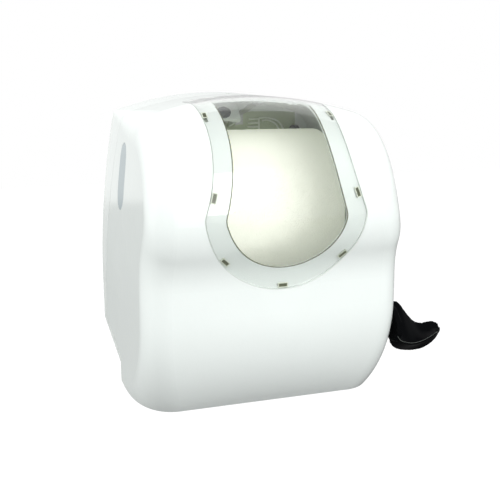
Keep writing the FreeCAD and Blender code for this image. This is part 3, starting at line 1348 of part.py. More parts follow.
plug_base = core_radius - core_wall - 0.2
hub_tip = size(12)
spigot_end = arm_inside + arm_wall + 3
for hand, side in ((-1, "left"), (1, "right")):
    start = roll_half_width - hub_tip
    flange_in, flange_out = hub_tip + 0.3, hub_tip + 2.1
    profile = [(0, 0), (spigot_end - start, 0), (spigot_end - start, hub_spigot),
               (flange_out, hub_spigot), (flange_out, 24), (flange_in, 24),
               (flange_in, plug_base), (hub_tip, plug_base), (0, plug_base - 3.3)]
    turn = None if hand > 0 else FreeCAD.Rotation(vec(0, 0, 1), 180)
    node(turned(f"Hub_{side}", profile, start * hand, -roll_reach, roll_height, turn),
         f"roll_hub_{side}")
    cap_near = arm_inside + arm_wall + 0.3
    near, far = (cap_near, cap_near + 1.5) if hand > 0 else (-cap_near - 1.5, -cap_near)
    node(ring(f"HubCap_{side}", near, far, hub_spigot, hub_spigot + 4, -roll_reach,
              roll_height), f"hub_ring_{side}")

wing_front, wing_top = size(44), arm_top - 20.5


def arm_plate(side, near, far, rear):
    """An arm with its rounded top and its eye; rear is the distance of its rear edge."""
    bow = (wing_front - rear) / 2 + 0.01
    web = prism(f"ArmWeb{side}", "YZ", near, far, [
        (-rear, size(174)), (-rear, arm_top - bow), (-wing_front, arm_top - bow),
        (-wing_front, size(262)), (size(-97), size(222)), (size(-103), size(184.2)),
        (size(-60), size(178))], {1: (bow, -1)})
    eye = rod(f"ArmEye{side}", "X", near, far, -roll_reach, roll_height, size(20))
    return [web, eye]


right_parts = arm_plate("Right", arm_inside, arm_inside + arm_wall, size(3))
right_parts.append(block("ArmFoot", arm_inside, arm_inside + 17, size(-6), size(-3), size(176),
                         size(294)))
right_cuts = [rod("ArmBoreRight", "X", size(100), size(120), -roll_reach, roll_height,
                  hub_spigot + running_gap)]
for i, z in enumerate(arm_screw_spots):
    right_cuts.append(rod(f"ArmFootHole{i}", "Y", size(-8), size(-1), arm_screw_x, z,
                          frame_screw + 0.3))
node(cut("ArmRight", fuse("ArmRightBulk", *right_parts), *right_cuts), "roll_arm_right")
node(group("ArmScrews", *[pan_screw(f"ArmScrew{i}", "+Y", arm_screw_x,
                                    size(-6) - frame_screw * 1.2, z, frame_screw, 6.6)
                          for i, z in enumerate(arm_screw_spots)]), "roll_arm_screws")

left_near, left_far = -arm_inside - arm_wall, -arm_inside
knuckle_low, knuckle_high = lug_low + lug_wall + 0.4, size(207)
left_parts = arm_plate("Left", left_near, left_far, size(22))
left_parts.append(rod("Knuckle", "Z", knuckle_low, knuckle_high, -pivot_x, -pivot_reach, size(7)))
left_parts.append(block("KnuckleWeb", -pivot_x, left_far, size(-26), -pivot_reach, knuckle_low,
                        knuckle_high))
left_cuts = [rod("ArmBoreLeft", "X", size(-120), size(-100), -roll_reach, roll_height,
                 hub_spigot + running_gap),
             rod("KnuckleBore", "Z", size(180), size(210), -pivot_x, -pivot_reach,
                 pivot_pin + running_gap)]
node(cut("ArmLeft", fuse("ArmLeftBulk", *left_parts), *left_cuts), "roll_arm_left")
node(turned("ArmPin", [(0, 0), (60, 0), (60, pivot_pin), (2, pivot_pin), (2, pivot_pin + 1.6),
                       (0, pivot_pin + 1.2)], -pivot_x, -pivot_reach, lug_high + lug_wall + 2.1,
            FreeCAD.Rotation(vec(0, 1, 0), 90)), "arm_pivot_pin")
node(place(coil("ArmSpring", 0.5, 4.2, 15.4, 7), -pivot_x, -pivot_reach,
           knuckle_high + spring_gap),
     "arm_spring")

# ---------------------------------------------------------------- rings on the axles

node(ring("FeedRing", gear_cover_start + cover_wall + 0.3, gear_cover_start + cover_wall + 1.3,
          feed_shaft_radius, feed_shaft_radius + 2.6, -feed_reach, feed_height),
     "feed_shaft_ring")
ring_near, ring_wall = frame_outside + 1, size(0.8)
ring_radius = pinch_axle_radius + 2.4
node(group("AxleRings", ring("AxleRingRight", ring_near, ring_near + ring_wall,
                             pinch_axle_radius, ring_radius, -pinch_reach, feed_height),
           ring("AxleRingLeft", -ring_near - ring_wall, -ring_near, pinch_axle_radius,
                ring_radius, -pinch_reach, feed_height)), "pinch_axle_rings")

# ---------------------------------------------------------------- checks and export

doc.recompute()
for item in doc.Objects:
    if "Invalid" in item.State or "Error" in item.State:
        raise RuntimeError(f"{item.Name} has failed: {item.State}")
for solid in nodes:
    shape = solid.Shape
    if shape.isNull() or not shape.isValid() or not shape.Solids:
        raise RuntimeError(f"{solid.Label} is not a valid solid")

os.makedirs("parts", exist_ok=True)
for solid in nodes:
    solid.Shape.exportStep(f"parts/{solid.Label}.step")
    print(f"{solid.Label}: {len(solid.Shape.Solids)} solid(s), {solid.Shape.Volume / 1000:.1f} cm3")
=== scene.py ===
# %% [markdown]
# # A lever paper towel dispenser
#
# The dispenser hangs on a wall. A push on the black lever at its right turns a roller inside, which
# draws a towel from the roll and feeds it out of the mouth below. Its solid parts are built
# elsewhere at their real size, and this lesson dresses them: every part keeps its place, and only
# gets the finish of its real plastic, metal, paper or rubber. Three pieces are modelled anew here,
# because their look is in their shape: the lever, the towel roll and its cardboard core. A few
# fine ones are added: a bead on the lever's lip, two strands round the window, the ribs of the
# back plate, and the frames of the window's clips. Some colours are painted light: a painted
# highlight on the bead of the lip, and painted shade on the back plate behind the roll, in the
# clips' slits and in the towel's dimples.
#
# The first step loads the solid parts. Their box is kept, and sets the height of the floor.

# %% Load the solid parts
import json
import math
import random

import bmesh
import bpy
from mathutils import Matrix, Vector

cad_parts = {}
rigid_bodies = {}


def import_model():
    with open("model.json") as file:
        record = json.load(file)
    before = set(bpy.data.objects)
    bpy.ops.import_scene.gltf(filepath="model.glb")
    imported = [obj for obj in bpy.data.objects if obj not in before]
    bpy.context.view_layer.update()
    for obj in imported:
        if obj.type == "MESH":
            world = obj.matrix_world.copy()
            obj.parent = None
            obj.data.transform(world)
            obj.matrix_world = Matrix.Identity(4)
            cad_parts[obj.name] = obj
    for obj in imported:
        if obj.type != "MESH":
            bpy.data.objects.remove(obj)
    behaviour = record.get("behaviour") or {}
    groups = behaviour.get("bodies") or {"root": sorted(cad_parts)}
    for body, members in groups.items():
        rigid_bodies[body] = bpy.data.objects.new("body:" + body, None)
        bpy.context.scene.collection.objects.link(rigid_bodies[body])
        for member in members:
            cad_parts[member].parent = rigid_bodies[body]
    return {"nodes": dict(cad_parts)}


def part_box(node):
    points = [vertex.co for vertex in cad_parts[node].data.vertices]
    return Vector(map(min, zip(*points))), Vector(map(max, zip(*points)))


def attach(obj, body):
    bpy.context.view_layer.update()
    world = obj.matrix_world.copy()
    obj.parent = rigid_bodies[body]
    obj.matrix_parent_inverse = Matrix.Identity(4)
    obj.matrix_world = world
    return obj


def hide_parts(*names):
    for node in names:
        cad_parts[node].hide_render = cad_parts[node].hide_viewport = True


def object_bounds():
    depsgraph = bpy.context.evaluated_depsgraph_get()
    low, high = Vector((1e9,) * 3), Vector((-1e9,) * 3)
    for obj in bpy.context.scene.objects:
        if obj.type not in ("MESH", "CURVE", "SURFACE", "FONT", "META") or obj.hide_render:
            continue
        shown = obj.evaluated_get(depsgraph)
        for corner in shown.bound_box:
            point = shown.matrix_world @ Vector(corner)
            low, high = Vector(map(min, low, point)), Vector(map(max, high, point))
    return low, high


MM = 0.001
for leftover in list(bpy.data.objects):
    bpy.data.objects.remove(leftover)
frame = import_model()
nodes = frame["nodes"]
cad_low, cad_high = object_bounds()
scene = bpy.context.scene
print("solid parts:", len(nodes))
print("box in mm:", [round((high - low) / MM) for low, high in zip(cad_low, cad_high)])

# %% [markdown]
# ## The camera
#
# A product camera stands about a metre away with a slightly long lens, so that the sides of the
# housing hardly converge. It looks down a little and stands to the left of the dispenser, so the
# front, the left side and a little of the top show. The place is given from the dispenser's
# origin on the wall, and the aim by two angles.

# %% The camera
CAMERA_PLACE = Vector((-261.5, -980, 162)) * MM
CAMERA_TURN = math.radians(17.7)
CAMERA_DIP = math.radians(12.41)
FOCAL_PIXELS = 750
FRAME_PIXELS = 500
SENSOR = 36

camera_data = bpy.data.cameras.new("camera")
camera = bpy.data.objects.new("camera", camera_data)
scene.collection.objects.link(camera)
camera_data.sensor_width = SENSOR
camera_data.lens = FOCAL_PIXELS / FRAME_PIXELS * SENSOR
camera.location = CAMERA_PLACE
aim = Vector((math.sin(CAMERA_TURN) * math.cos(CAMERA_DIP),
              math.cos(CAMERA_TURN) * math.cos(CAMERA_DIP), -math.sin(CAMERA_DIP)))
camera.rotation_euler = aim.to_track_quat("-Z", "Y").to_euler()
scene.camera = camera
scene.view_settings.view_transform = "Standard"
print("lens in mm:", round(camera_data.lens, 1))

# %% [markdown]
# ## Node helpers
#
# Every finish is a node tree, and trees are long to write by hand. The first two helpers do the
# common work: one adds a node and fills its sockets, and the other starts a material whose one
# Principled shader holds the plain values that are the same all over the surface.

# %% Helpers for node trees
def add_node(tree, kind, inputs=None, **settings):
    """A node of this kind; an input is a value, or an output socket to link from."""
    made = tree.nodes.new(kind)
    for name, value in settings.items():
        setattr(made, name, value)
    for name, value in (inputs or {}).items():
        if isinstance(value, bpy.types.NodeSocket):
            tree.links.new(value, made.inputs[name])
        else:
            made.inputs[name].default_value = value
    return made


def start_material(name, colour, roughness, **sockets):
    """A material with one Principled shader, returned with its tree and shader."""
    made = bpy.data.materials.new(name)
    made.use_nodes = True
    tree = made.node_tree
    shader = tree.nodes["Principled BSDF"]
    shader.inputs["Base Color"].default_value = (*colour, 1)
    shader.inputs["Roughness"].default_value = roughness
    for socket, value in sockets.items():
        shader.inputs[socket.replace("_", " ")].default_value = value
    return made, tree, shader


print("helpers for trees:", add_node.__name__, "and", start_material.__name__)

# %% [markdown]
# The finishes share a few smaller steps: where a point lies on its object, soft noise, a value
# spread over a range, a sum of two values, a mix of two colours, and a bump. Each is one node with
# its settings, so each gets a short helper that gives back the socket to go on with.

# %% Helpers for the steps of a finish
def object_place(tree):
    """Where a point lies on its object, in metres, which no camera changes."""
    return add_node(tree, "ShaderNodeTexCoord").outputs["Object"]


def add_noise(tree, place, scale, detail):
    """Soft noise between 0 and 1; a larger scale makes it finer."""
    made = add_node(tree, "ShaderNodeTexNoise", {"Vector": place, "Scale": scale,
                                                 "Detail": detail})
    return made.outputs[0]


def range_of(tree, source, low, high):
    """A noise or wave value spread over a new range."""
    spread = add_node(tree, "ShaderNodeMapRange", {"Value": source, "To Min": low, "To Max": high})
    return spread.outputs["Result"]


def combine(tree, operation, *values):
    """What one operation makes of its values, such as MULTIPLY or COMPARE."""
    made = add_node(tree, "ShaderNodeMath", dict(enumerate(values)), operation=operation)
    return made.outputs[0]


def blend_colours(tree, share, first, second):
    """A colour between two; each is red, green and blue, or a socket."""
    first, second = [end if isinstance(end, bpy.types.NodeSocket) else (*end, 1)
                     for end in (first, second)]
    made = add_node(tree, "ShaderNodeMix", {0: share, 6: first, 7: second}, data_type="RGBA")
    return made.outputs[2]


def add_bump(tree, shader, height, strength, distance):
    """Fine relief on a shader; distance is its depth in metres."""
    bump = add_node(tree, "ShaderNodeBump", {"Height": height, "Strength": strength,
                                             "Distance": distance})
    tree.links.new(bump.outputs[0], shader.inputs["Normal"])


print("helpers for finishes ready")

# %% [markdown]
# ## Floor, sky and lamps
#
# The picture wants a plain white surrounding, and white plastic that keeps its own tones. So the
# sky plays three parts. Looked at, straight or through the window, it is white. As light, it is
# brightest overhead and dark below, which rounds the housing and darkens its foot. In reflections
# it is a wall behind the dispenser, greyer at its foot and white above, which ends at about fifty
# degrees, and a dim room in front.

# %% The sky's values
SKY_SEEN = 1.0
SKY_ABOVE, SKY_BELOW = 1.0, 0.0
LIGHT_FROM, LIGHT_FULL = -0.55, 0.45
ROOM_SEEN = 0.16
ROOM_ENDS, WALL_STARTS = -0.35, 0.1
WALL_FOOT, WALL_WHITE_FROM = 0.62, 0.4
WALL_TOP = math.sin(math.radians(52))
WALL_EDGE = 0.01


def climb(tree, value, start, end, low, high):
    """A value that rises smoothly from low to high between start and end."""
    made = add_node(tree, "ShaderNodeMapRange",
                    {"Value": value, "From Min": start, "From Max": end, "To Min": low,
                     "To Max": high}, interpolation_type="SMOOTHSTEP")
    return made.outputs["Result"]


def choose(tree, factor, first, second):
    """Between two values: the first at factor 0, the second at 1."""
    return add_node(tree, "ShaderNodeMix", {0: factor, 2: first, 3: second}).outputs[0]


print("sky light from", SKY_BELOW, "below to", SKY_ABOVE, "above")

# %% The sky
world = bpy.data.worlds.new("studio")
scene.world = world
world.use_nodes = True
sky = world.node_tree
sky.nodes.clear()
ray_kind = add_node(sky, "ShaderNodeLightPath").outputs
toward = add_node(sky, "ShaderNodeTexCoord").outputs["Generated"]
parts = add_node(sky, "ShaderNodeSeparateXYZ", {"Vector": toward}).outputs

as_light = climb(sky, parts["Z"], LIGHT_FROM, LIGHT_FULL, SKY_BELOW, SKY_ABOVE)
wall = climb(sky, parts["Z"], 0, WALL_WHITE_FROM, WALL_FOOT, SKY_SEEN)
past_wall = climb(sky, parts["Z"], WALL_TOP - WALL_EDGE, WALL_TOP + WALL_EDGE, 0, 1)
wall_and_ceiling = choose(sky, past_wall, wall, ROOM_SEEN)
behind = climb(sky, parts["Y"], ROOM_ENDS, WALL_STARTS, 0, 1)
in_mirror = choose(sky, behind, ROOM_SEEN, wall_and_ceiling)
looked_at = combine(sky, "MAXIMUM", ray_kind["Is Camera Ray"], ray_kind["Is Transmission Ray"])
level = choose(sky, ray_kind["Is Glossy Ray"], as_light, in_mirror)
level = choose(sky, looked_at, level, SKY_SEEN)
sky_shader = add_node(sky, "ShaderNodeBackground", {"Color": (1, 1, 1, 1), "Strength": level})
add_node(sky, "ShaderNodeOutputWorld", {"Surface": sky_shader.outputs[0]})
print("sky nodes:", len(sky.nodes))

# %% [markdown]
# The floor lies far below, as under a thing that hangs on a wall. It is a plain grey sheet that
# sends little light up, and only what the camera sees of it is lifted to the white of the sky.

# %% The floor
FLOOR_DROP = 0.55
FLOOR_SIDE = 12
FLOOR_GREY = 0.14
FLOOR_LIFT = 0.9

half_floor = FLOOR_SIDE / 2
floor_level = cad_low.z - FLOOR_DROP
corners = [(-half_floor, -half_floor), (half_floor, -half_floor), (half_floor, half_floor),
           (-half_floor, half_floor)]
floor_mesh = bpy.data.meshes.new("floor")
floor_mesh.from_pydata([(x, y, floor_level) for x, y in corners], [], [(0, 1, 2, 3)])
floor = bpy.data.objects.new("floor", floor_mesh)
scene.collection.objects.link(floor)
floor_finish, tree, shader = start_material("floor_pale", [FLOOR_GREY] * 3, 0.9,
                                            Emission_Color=(1, 1, 1, 1))
floor_rays = add_node(tree, "ShaderNodeLightPath").outputs
tree.links.new(range_of(tree, floor_rays["Is Camera Ray"], 0, FLOOR_LIFT),
               shader.inputs["Emission Strength"])
floor_mesh.materials.append(floor_finish)
print("floor at", round(floor_level, 3), "m")

# %% [markdown]
# ## Lamps
#
# The main lamp is a tall soft box that leans over the dispenser from the front, so its top edge
# is nearer than its foot. It gives the front its light, and its own reflection is the bright
# patch that widens upwards on the window and at the left corner. A second lamp lies flat above,
# and whitens the rounded top. A third stands at the left, mostly behind the wall's plane, so
# that it lights the left side and spares the front corner. A fourth fills the front. These three
# aren't mirrored in anything, as a photographer would turn their reflections out of sight.

# %% The lamps
def soft_lamp(name, foot, head, width, power, across=(1, 0, 0), mirrored=False):
    """A rectangular lamp between the middles of its foot and head edges."""
    foot, head, across = Vector(foot), Vector(head), Vector(across)
    data = bpy.data.lights.new(name, "AREA")
    data.shape = "RECTANGLE"
    data.size, data.size_y, data.energy = width, (head - foot).length, power
    lamp = bpy.data.objects.new(name, data)
    scene.collection.objects.link(lamp)
    up = (head - foot).normalized()
    back = across.cross(up).normalized()
    turned = Matrix((across, up, back)).transposed().to_4x4()
    lamp.matrix_world = Matrix.Translation((foot + head) / 2) @ turned
    lamp.visible_camera = False
    lamp.visible_glossy = lamp.visible_transmission = mirrored


soft_lamp("lean_lamp", foot=(-0.06, -2.26, 0.07), head=(-0.05, -1.0, 0.78), width=0.72, power=9,
          mirrored=True)
soft_lamp("top_lamp", foot=(0, -0.7, 1.1), head=(0, 0.3, 1.1), width=1.2, power=3)
soft_lamp("left_lamp", foot=(-1.5, 0.4, -0.4), head=(-1.5, 0.4, 0.6), width=1.2, power=17,
          across=(0, -1, 0))
soft_lamp("fill_lamp", foot=(0.4, -1.7, -0.2), head=(0.4, -1.7, 0.3), width=0.9, power=9)

# %% [markdown]
# ## Moulded plastics
#
# The housing is glossy white plastic. A moulded surface is never a perfect mirror: it has a very
# fine waviness, called orange peel, and its shine changes a little from place to place. Both come
# from soft noise. The same recipe with other numbers gives the satin back, the black lever and
# the milky bearings, so it is one function.

# %% The plastic recipe
CLOUD_SCALE = 24
SHINE_SCALE = 60


def plastic(name, colour, roughness, grain=0.0006, depth=0.05, tint=0.03, **sockets):
    """Moulded plastic: grain is the size in metres of its peel, depth how strong it is."""
    made, tree, shader = start_material(name, colour, roughness, **sockets)
    place = object_place(tree)
    darker = [part * (1 - tint) for part in colour]
    clouds = add_noise(tree, place, CLOUD_SCALE, 3)
    tree.links.new(blend_colours(tree, clouds, colour, darker), shader.inputs["Base Color"])
    shine = add_noise(tree, place, SHINE_SCALE, 4)
    tree.links.new(range_of(tree, shine, roughness * 0.85, roughness * 1.15),
                   shader.inputs["Roughness"])
    add_bump(tree, shader, add_noise(tree, place, 1 / grain, 2), depth, grain / 4)
    return made


finishes = {
    "cover": plastic("cover_gloss_white", (0.79, 0.838, 0.815), 0.14, grain=0.004),
    "chassis": plastic("chassis_satin_white", (0.77, 0.81, 0.79), 0.24, depth=0.12),
    "black": plastic("black_satin", (0.022, 0.023, 0.026), 0.36, depth=0.25),
    "lever": plastic("lever_charcoal", (0.003, 0.0033, 0.0037), 0.2, depth=0.03,
                     Specular_IOR_Level=0.012),
    "bearing": plastic("bearing_milky", (0.78, 0.775, 0.72), 0.34, Subsurface_Weight=0.15),
    "gear": plastic("gear_nylon", (0.74, 0.7, 0.58), 0.4, Subsurface_Weight=0.12),
    "rubber": plastic("roller_rubber", (0.035, 0.035, 0.037), 0.72, grain=0.0009, depth=0.5),
}
print("plastics:", sorted(finishes))

# %% [markdown]
# The back is one white moulding. Its rim on the outside stays white, while its plate behind the
# roll gets a darker grey-green, which is painted shade: the shade deep in the housing, behind the
# green window. A box in the moulding tells the two apart. Each axis is compared with its own span,
# and the three answers are multiplied, so that a point counts only if it is within all three.

# %% The plate behind the roll
PLATE_LOW, PLATE_HIGH = (-0.115, -0.0125, -0.135), (0.115, -0.001, 0.131)
# painted shade: the darker grey-green stands in for the shade on the white plate
PLATE_SHADE_GREEN = (0.5, 0.56, 0.4)


def paint_shade_inside(finish, low, high, colour):
    """Paint shade into a finish: another colour within a box of its object, with all limits in
    metres.
    """
    tree = finish.node_tree
    spot = add_node(tree, "ShaderNodeSeparateXYZ", {"Vector": object_place(tree)}).outputs
    across, deep, tall = [combine(tree, "COMPARE", spot[axis], (near + far) / 2, (far - near) / 2)
                          for axis, near, far in zip("XYZ", low, high)]
    # the mask of the painted shade: 1 within the plate's box
    inside = combine(tree, "MULTIPLY", combine(tree, "MULTIPLY", across, deep), tall)
    socket = tree.nodes["Principled BSDF"].inputs["Base Color"]
    before = socket.links[0].from_socket
    tree.links.new(blend_colours(tree, inside, before, colour), socket)


# the plate behind the roll gets its painted shade
paint_shade_inside(finishes["chassis"], PLATE_LOW, PLATE_HIGH, PLATE_SHADE_GREEN)
print("plate colour:", PLATE_SHADE_GREEN)

# %% [markdown]
# ## The window plastic
#
# The window is one clear moulding that lies in a recess of the cover. Real clear plastic lets
# lamps shine through, but a ray tracer would take a glass shader for opaque when it looks for
# lamps. So rays towards a lamp see a plain see-through shader in its place, and the roll behind
# the window is lit as it is in a room. The inserts of the two side windows are milky, so plastic
# that lets a little light through is enough for them.

# %% The clear plastic
def clear_plastic(name, tint, roughness):
    """Clear plastic: bright to look at, and open to the lamps' own rays."""
    made, tree, shader = start_material(name, tint, roughness, IOR=1.49,
                                        Transmission_Weight=1.0)
    add_bump(tree, shader, add_noise(tree, object_place(tree), 35, 1), 0.015, 1 * MM)
    open_side = add_node(tree, "ShaderNodeBsdfTransparent", {"Color": (1, 1, 1, 1)})
    rays = add_node(tree, "ShaderNodeLightPath").outputs
    choice = add_node(tree, "ShaderNodeMixShader", {0: rays["Is Shadow Ray"],
                                                    1: shader.outputs[0],
                                                    2: open_side.outputs[0]})
    out = tree.nodes["Material Output"]
    tree.links.new(choice.outputs[0], out.inputs["Surface"])
    return made


finishes["clear"] = clear_plastic("window_clear", (0.98, 0.995, 0.98), 0.008)
finishes["lens"] = plastic("side_lens_milky", (0.56, 0.64, 0.66), 0.22, grain=0.003, depth=0.04,
                           Transmission_Weight=0.25)
print("clear plastics:", finishes["clear"].name, "and", finishes["lens"].name)

# %% [markdown]
# ## Metals
#
# The lock is chromed, the shafts and screws are plain bright steel, and the tear bar is ground
# steel. Turned and ground metal shows fine lines from its tool, so the steels get a noise that is
# stretched along the shafts, which run across the dispenser.

# %% The metals
LINE_SCALE = 900


def metal(name, colour, roughness, along=(1, 1, 1), scratch=0.12):
    """Bright metal with fine lines; along squeezes the noise to run them one way."""
    made, tree, shader = start_material(name, colour, roughness, Metallic=1.0)
    stretch = add_node(tree, "ShaderNodeMapping", {"Vector": object_place(tree), "Scale": along})
    lines = add_noise(tree, stretch.outputs[0], LINE_SCALE, 2)
    tree.links.new(range_of(tree, lines, roughness * 0.7, roughness * 1.4),
                   shader.inputs["Roughness"])
    add_bump(tree, shader, lines, scratch, 0.1 * MM)
    return made


finishes["chromed"] = metal("lock_chrome", (0.22, 0.23, 0.25), 0.1, scratch=0.02)
finishes["steel"] = metal("bright_steel", (0.5, 0.5, 0.51), 0.3, along=(1, 0.08, 0.08))
finishes["blade_steel"] = metal("ground_steel", (0.56, 0.57, 0.58), 0.24, along=(0.05, 1, 1))
finishes["spring_steel"] = metal("spring_wire", (0.42, 0.42, 0.43), 0.34)
print("finishes so far:", len(finishes))

# %% [markdown]
# ## Paper and board
#
# The towel has a fine slanted emboss, far too fine for geometry, so it is a bump of two crossing
# waves with a fibre noise on top. Its colour is also darker in the dimples, in soft patches, which
# is painted shade. White paper lets light through from layer to layer, which makes a roll glow
# softly where no lamp reaches it. A very weak light of its own stands in for that.

# %% The towel's paper
TOWEL_GROOVE = 2.4 * MM
TOWEL_SLANT, TOWEL_CROSSING = 38, 96
WAVE_LENGTH = 0.31
PAPER_GLOW = {"Emission_Color": (0.95, 1, 0.84, 1), "Emission_Strength": 0.22}


def towel_paper(name, colour, groove, slant):
    """Absorbent paper: two crossing rows of slanted dimples over a soft fibre noise, with painted
    shade that darkens the dimples in soft patches.
    """
    made, tree, shader = start_material(name, colour, 0.92, Sheen_Weight=0.15, **PAPER_GLOW)
    place = object_place(tree)
    rows = []
    for turn in (slant, slant - TOWEL_CROSSING):
        turned = add_node(tree, "ShaderNodeMapping",
                          {"Vector": place, "Rotation": (0, math.radians(turn), 0)})
        wave = add_node(tree, "ShaderNodeTexWave",
                        {"Vector": turned.outputs[0], "Scale": WAVE_LENGTH / groove,
                         "Distortion": 0.6, "Detail": 1}, wave_profile="SIN")
        rows.append(wave.outputs["Fac"])
    dimples = combine(tree, "MULTIPLY", *rows)
    relief = combine(tree, "ADD", dimples, add_noise(tree, place, 900, 4))
    add_bump(tree, shader, relief, 0.35, 0.4 * MM)
    # painted shade: the colour darkens where the dimples are, more in some soft patches than in
    # others
    shade = combine(tree, "MULTIPLY", dimples, add_noise(tree, place, 14, 3))
    dimple_shade_colour = [part * 0.9 for part in colour]
    tree.links.new(blend_colours(tree, shade, colour, dimple_shade_colour), shader.inputs["Base Color"])
    return made


finishes["paper"] = towel_paper("towel_paper", (0.95, 0.94, 0.86), TOWEL_GROOVE, TOWEL_SLANT)
finishes["cardboard"] = plastic("core_board", (0.47, 0.35, 0.22), 0.85, grain=0.0012, depth=0.4)
print("emboss rows every", TOWEL_GROOVE / MM, "mm")

# %% [markdown]
# ## A finish for every solid part
#
# The record of the part says which material each solid is made of, and most finishes above carry
# the same names. So the parts are dressed by one loop, and no part is forgotten. Only the milky
# inserts of the two side windows get a finish of their own.

# %% Dress the solid parts
OTHER_NAMES = {
    "cover_plastic": "cover", "chassis_plastic": "chassis", "clear_plastic": "clear",
    "black_plastic": "black", "lever_plastic": "lever", "bearing_plastic": "bearing",
    "gear_plastic": "gear",
}
for solid in nodes.values():
    for holder in solid.material_slots:
        slot_name = holder.material.name
        holder.material = finishes[OTHER_NAMES.get(slot_name, slot_name)]
nodes["side_lenses"].material_slots[0].material = finishes["lens"]
print("dressed", len(nodes), "solid parts in", len(finishes), "finishes")

# %% [markdown]
# ## Building a piece from rings
#
# The lever, the roll, the core and all fine strands are skins over a row of rings, so they share
# one helper. It joins ring to ring with four-sided faces and closes the two ends. A second helper
# gives a mesh a body to ride on and a finish.
# Heights are easiest to read from the bottom rim of the dispenser, so a third one turns such a
# place into metres from the origin.

# %% Helpers for new pieces
RIM_DROP = 190


def from_rim(x, y, height):
    """A place in mm, its height counted from the bottom rim, as a point in metres."""
    return x * MM, y * MM, (height - RIM_DROP) * MM


def skin_over(rings, looped=False):
    """A mesh over rings of points; looped joins the last ring to the first."""
    mesh = bmesh.new()
    rows = [[mesh.verts.new(point) for point in ring] for ring in rings]
    count = len(rows[0])
    pairs = list(zip(rows, rows[1:]))
    if looped:
        pairs.append((rows[-1], rows[0]))
    for first, second in pairs:
        for i in range(count):
            after = (i + 1) % count
            mesh.faces.new((first[i], first[after], second[after], second[i]))
    if not looped:
        mesh.faces.new(list(reversed(rows[0])))
        mesh.faces.new(rows[-1])
    bmesh.ops.recalc_face_normals(mesh, faces=mesh.faces)
    return mesh


def add_piece(name, mesh, finish, body):
    """Make a mesh an object that rides on a body and wears a finish."""
    data = bpy.data.meshes.new(name)
    mesh.to_mesh(data)
    mesh.free()
    piece = bpy.data.objects.new(name, data)
    scene.collection.objects.link(piece)
    data.materials.append(finishes[finish])
    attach(piece, body)
    return piece


print("the rim lies", RIM_DROP, "mm below the origin")

# %% [markdown]
# ## The lever
#
# The lever is the one dark piece. A flat arm runs along the side of the housing from the shaft, and
# its front end turns outwards into a shallow scoop for the hand, with a thick rounded lip. In a
# workshop it would be carved from one block, and this does the same. The scoop is a skin over
# eleven cross sections, with more sections between them on a smooth curve, so that no flat facet
# shows in the gloss.

# %% The scoop of the lever
# across, front edge (y, height), rear edge (y, height) and height of the lip
SCOOP_STATIONS = [
    (153.5, -243, 67.3, -209, 101.5, 14), (158, -244, 61.2, -209.5, 101.5, 13.5),
    (163.5, -245, 57.7, -210, 100.5, 14), (171, -246, 56.1, -211, 97.5, 14.5),
    (180, -246, 56.8, -212.5, 85.5, 15), (190, -245.5, 59.8, -214, 74.5, 14.7),
    (199, -244, 63.2, -216, 71.5, 13.2), (206.5, -241.5, 65.5, -217.5, 73, 12),
    (212, -238, 66, -219.5, 73.5, 10), (215.4, -234.5, 67, -222.5, 73, 8),
    (217.3, -231, 68.5, -226.5, 72, 6.5)]
STEPS_BETWEEN = 5
SCOOP_STEPS = 10
REAR_SHARE = 0.55
DISH_DEPTH, FULL_DISH_LIP = 3.2, 9
LIP_LEAN = 0.25


def smooth_between(rows, count):
    """Rows of numbers, with more rows between them on a smooth curve through all."""
    padded = [rows[0]] + rows + [rows[-1]]
    found = []
    for before, start, end, after in zip(padded, padded[1:], padded[2:], padded[3:]):
        for k in range(count):
            t = k / count
            found.append([b + 0.5 * t * (c - a + t * (2 * a - 5 * b + 4 * c - d
                                                      + t * (3 * b - a - 3 * c + d)))
                          for a, b, c, d in zip(before, start, end, after)])
    return found + [list(rows[-1])]


def scoop_ring(x, front_y, front_height, rear_y, rear_height, lip):
    """One section of the scoop: a dished upper line and a lower line under it."""
    front, rear = Vector((x, front_y, front_height)), Vector((x, rear_y, rear_height))
    chord = rear - front
    under = Vector((0, chord.z, -chord.y)).normalized()
    upper, lower = [], []
    for k in range(SCOOP_STEPS + 1):
        share = k / SCOOP_STEPS
        dish = math.sin(math.pi * share) * DISH_DEPTH * min(1, lip / FULL_DISH_LIP)
        point = front + chord * share + under * dish
        thick = lip / -under.z * (1 - (1 - REAR_SHARE) * math.sqrt(share))
        upper.append(point)
        lower.append(point + under * thick + Vector((0, thick * LIP_LEAN * (1 - share), 0)))
    return [from_rim(*point) for point in upper + lower[::-1]]


scoop_rows = smooth_between(SCOOP_STATIONS, STEPS_BETWEEN)
scoop = skin_over([scoop_ring(*row) for row in scoop_rows])
print("sections of the scoop:", len(scoop_rows))

# %% [markdown]
# The arm is a bent outline with a thickness, and the boss a round disc over the shaft. Both join
# the scoop's mesh, and a voxel remesh welds the three into one body, as carving from a block
# would. A smooth modifier then rounds every edge, as a mould does.

# %% The whole lever
ARM_NEAR, ARM_FAR = 152.5, 159.5
ARM_OUTLINE = [(-96, 75), (-122, 84), (-150, 91), (-176, 98), (-198, 102), (-212, 102),
               (-228, 95), (-241, 84), (-244, 70), (-239, 59.5), (-228, 57.5), (-205, 61),
               (-174, 61), (-150, 57), (-122, 51), (-96, 49)]
SHAFT_Y, SHAFT_HEIGHT = -96, 62
BOSS_RADIUS, BOSS_SIDES = 13, 48
WELD_VOXEL = 0.9 * MM
SOFTEN_SHARE, SOFTEN_ROUNDS = 0.5, 5

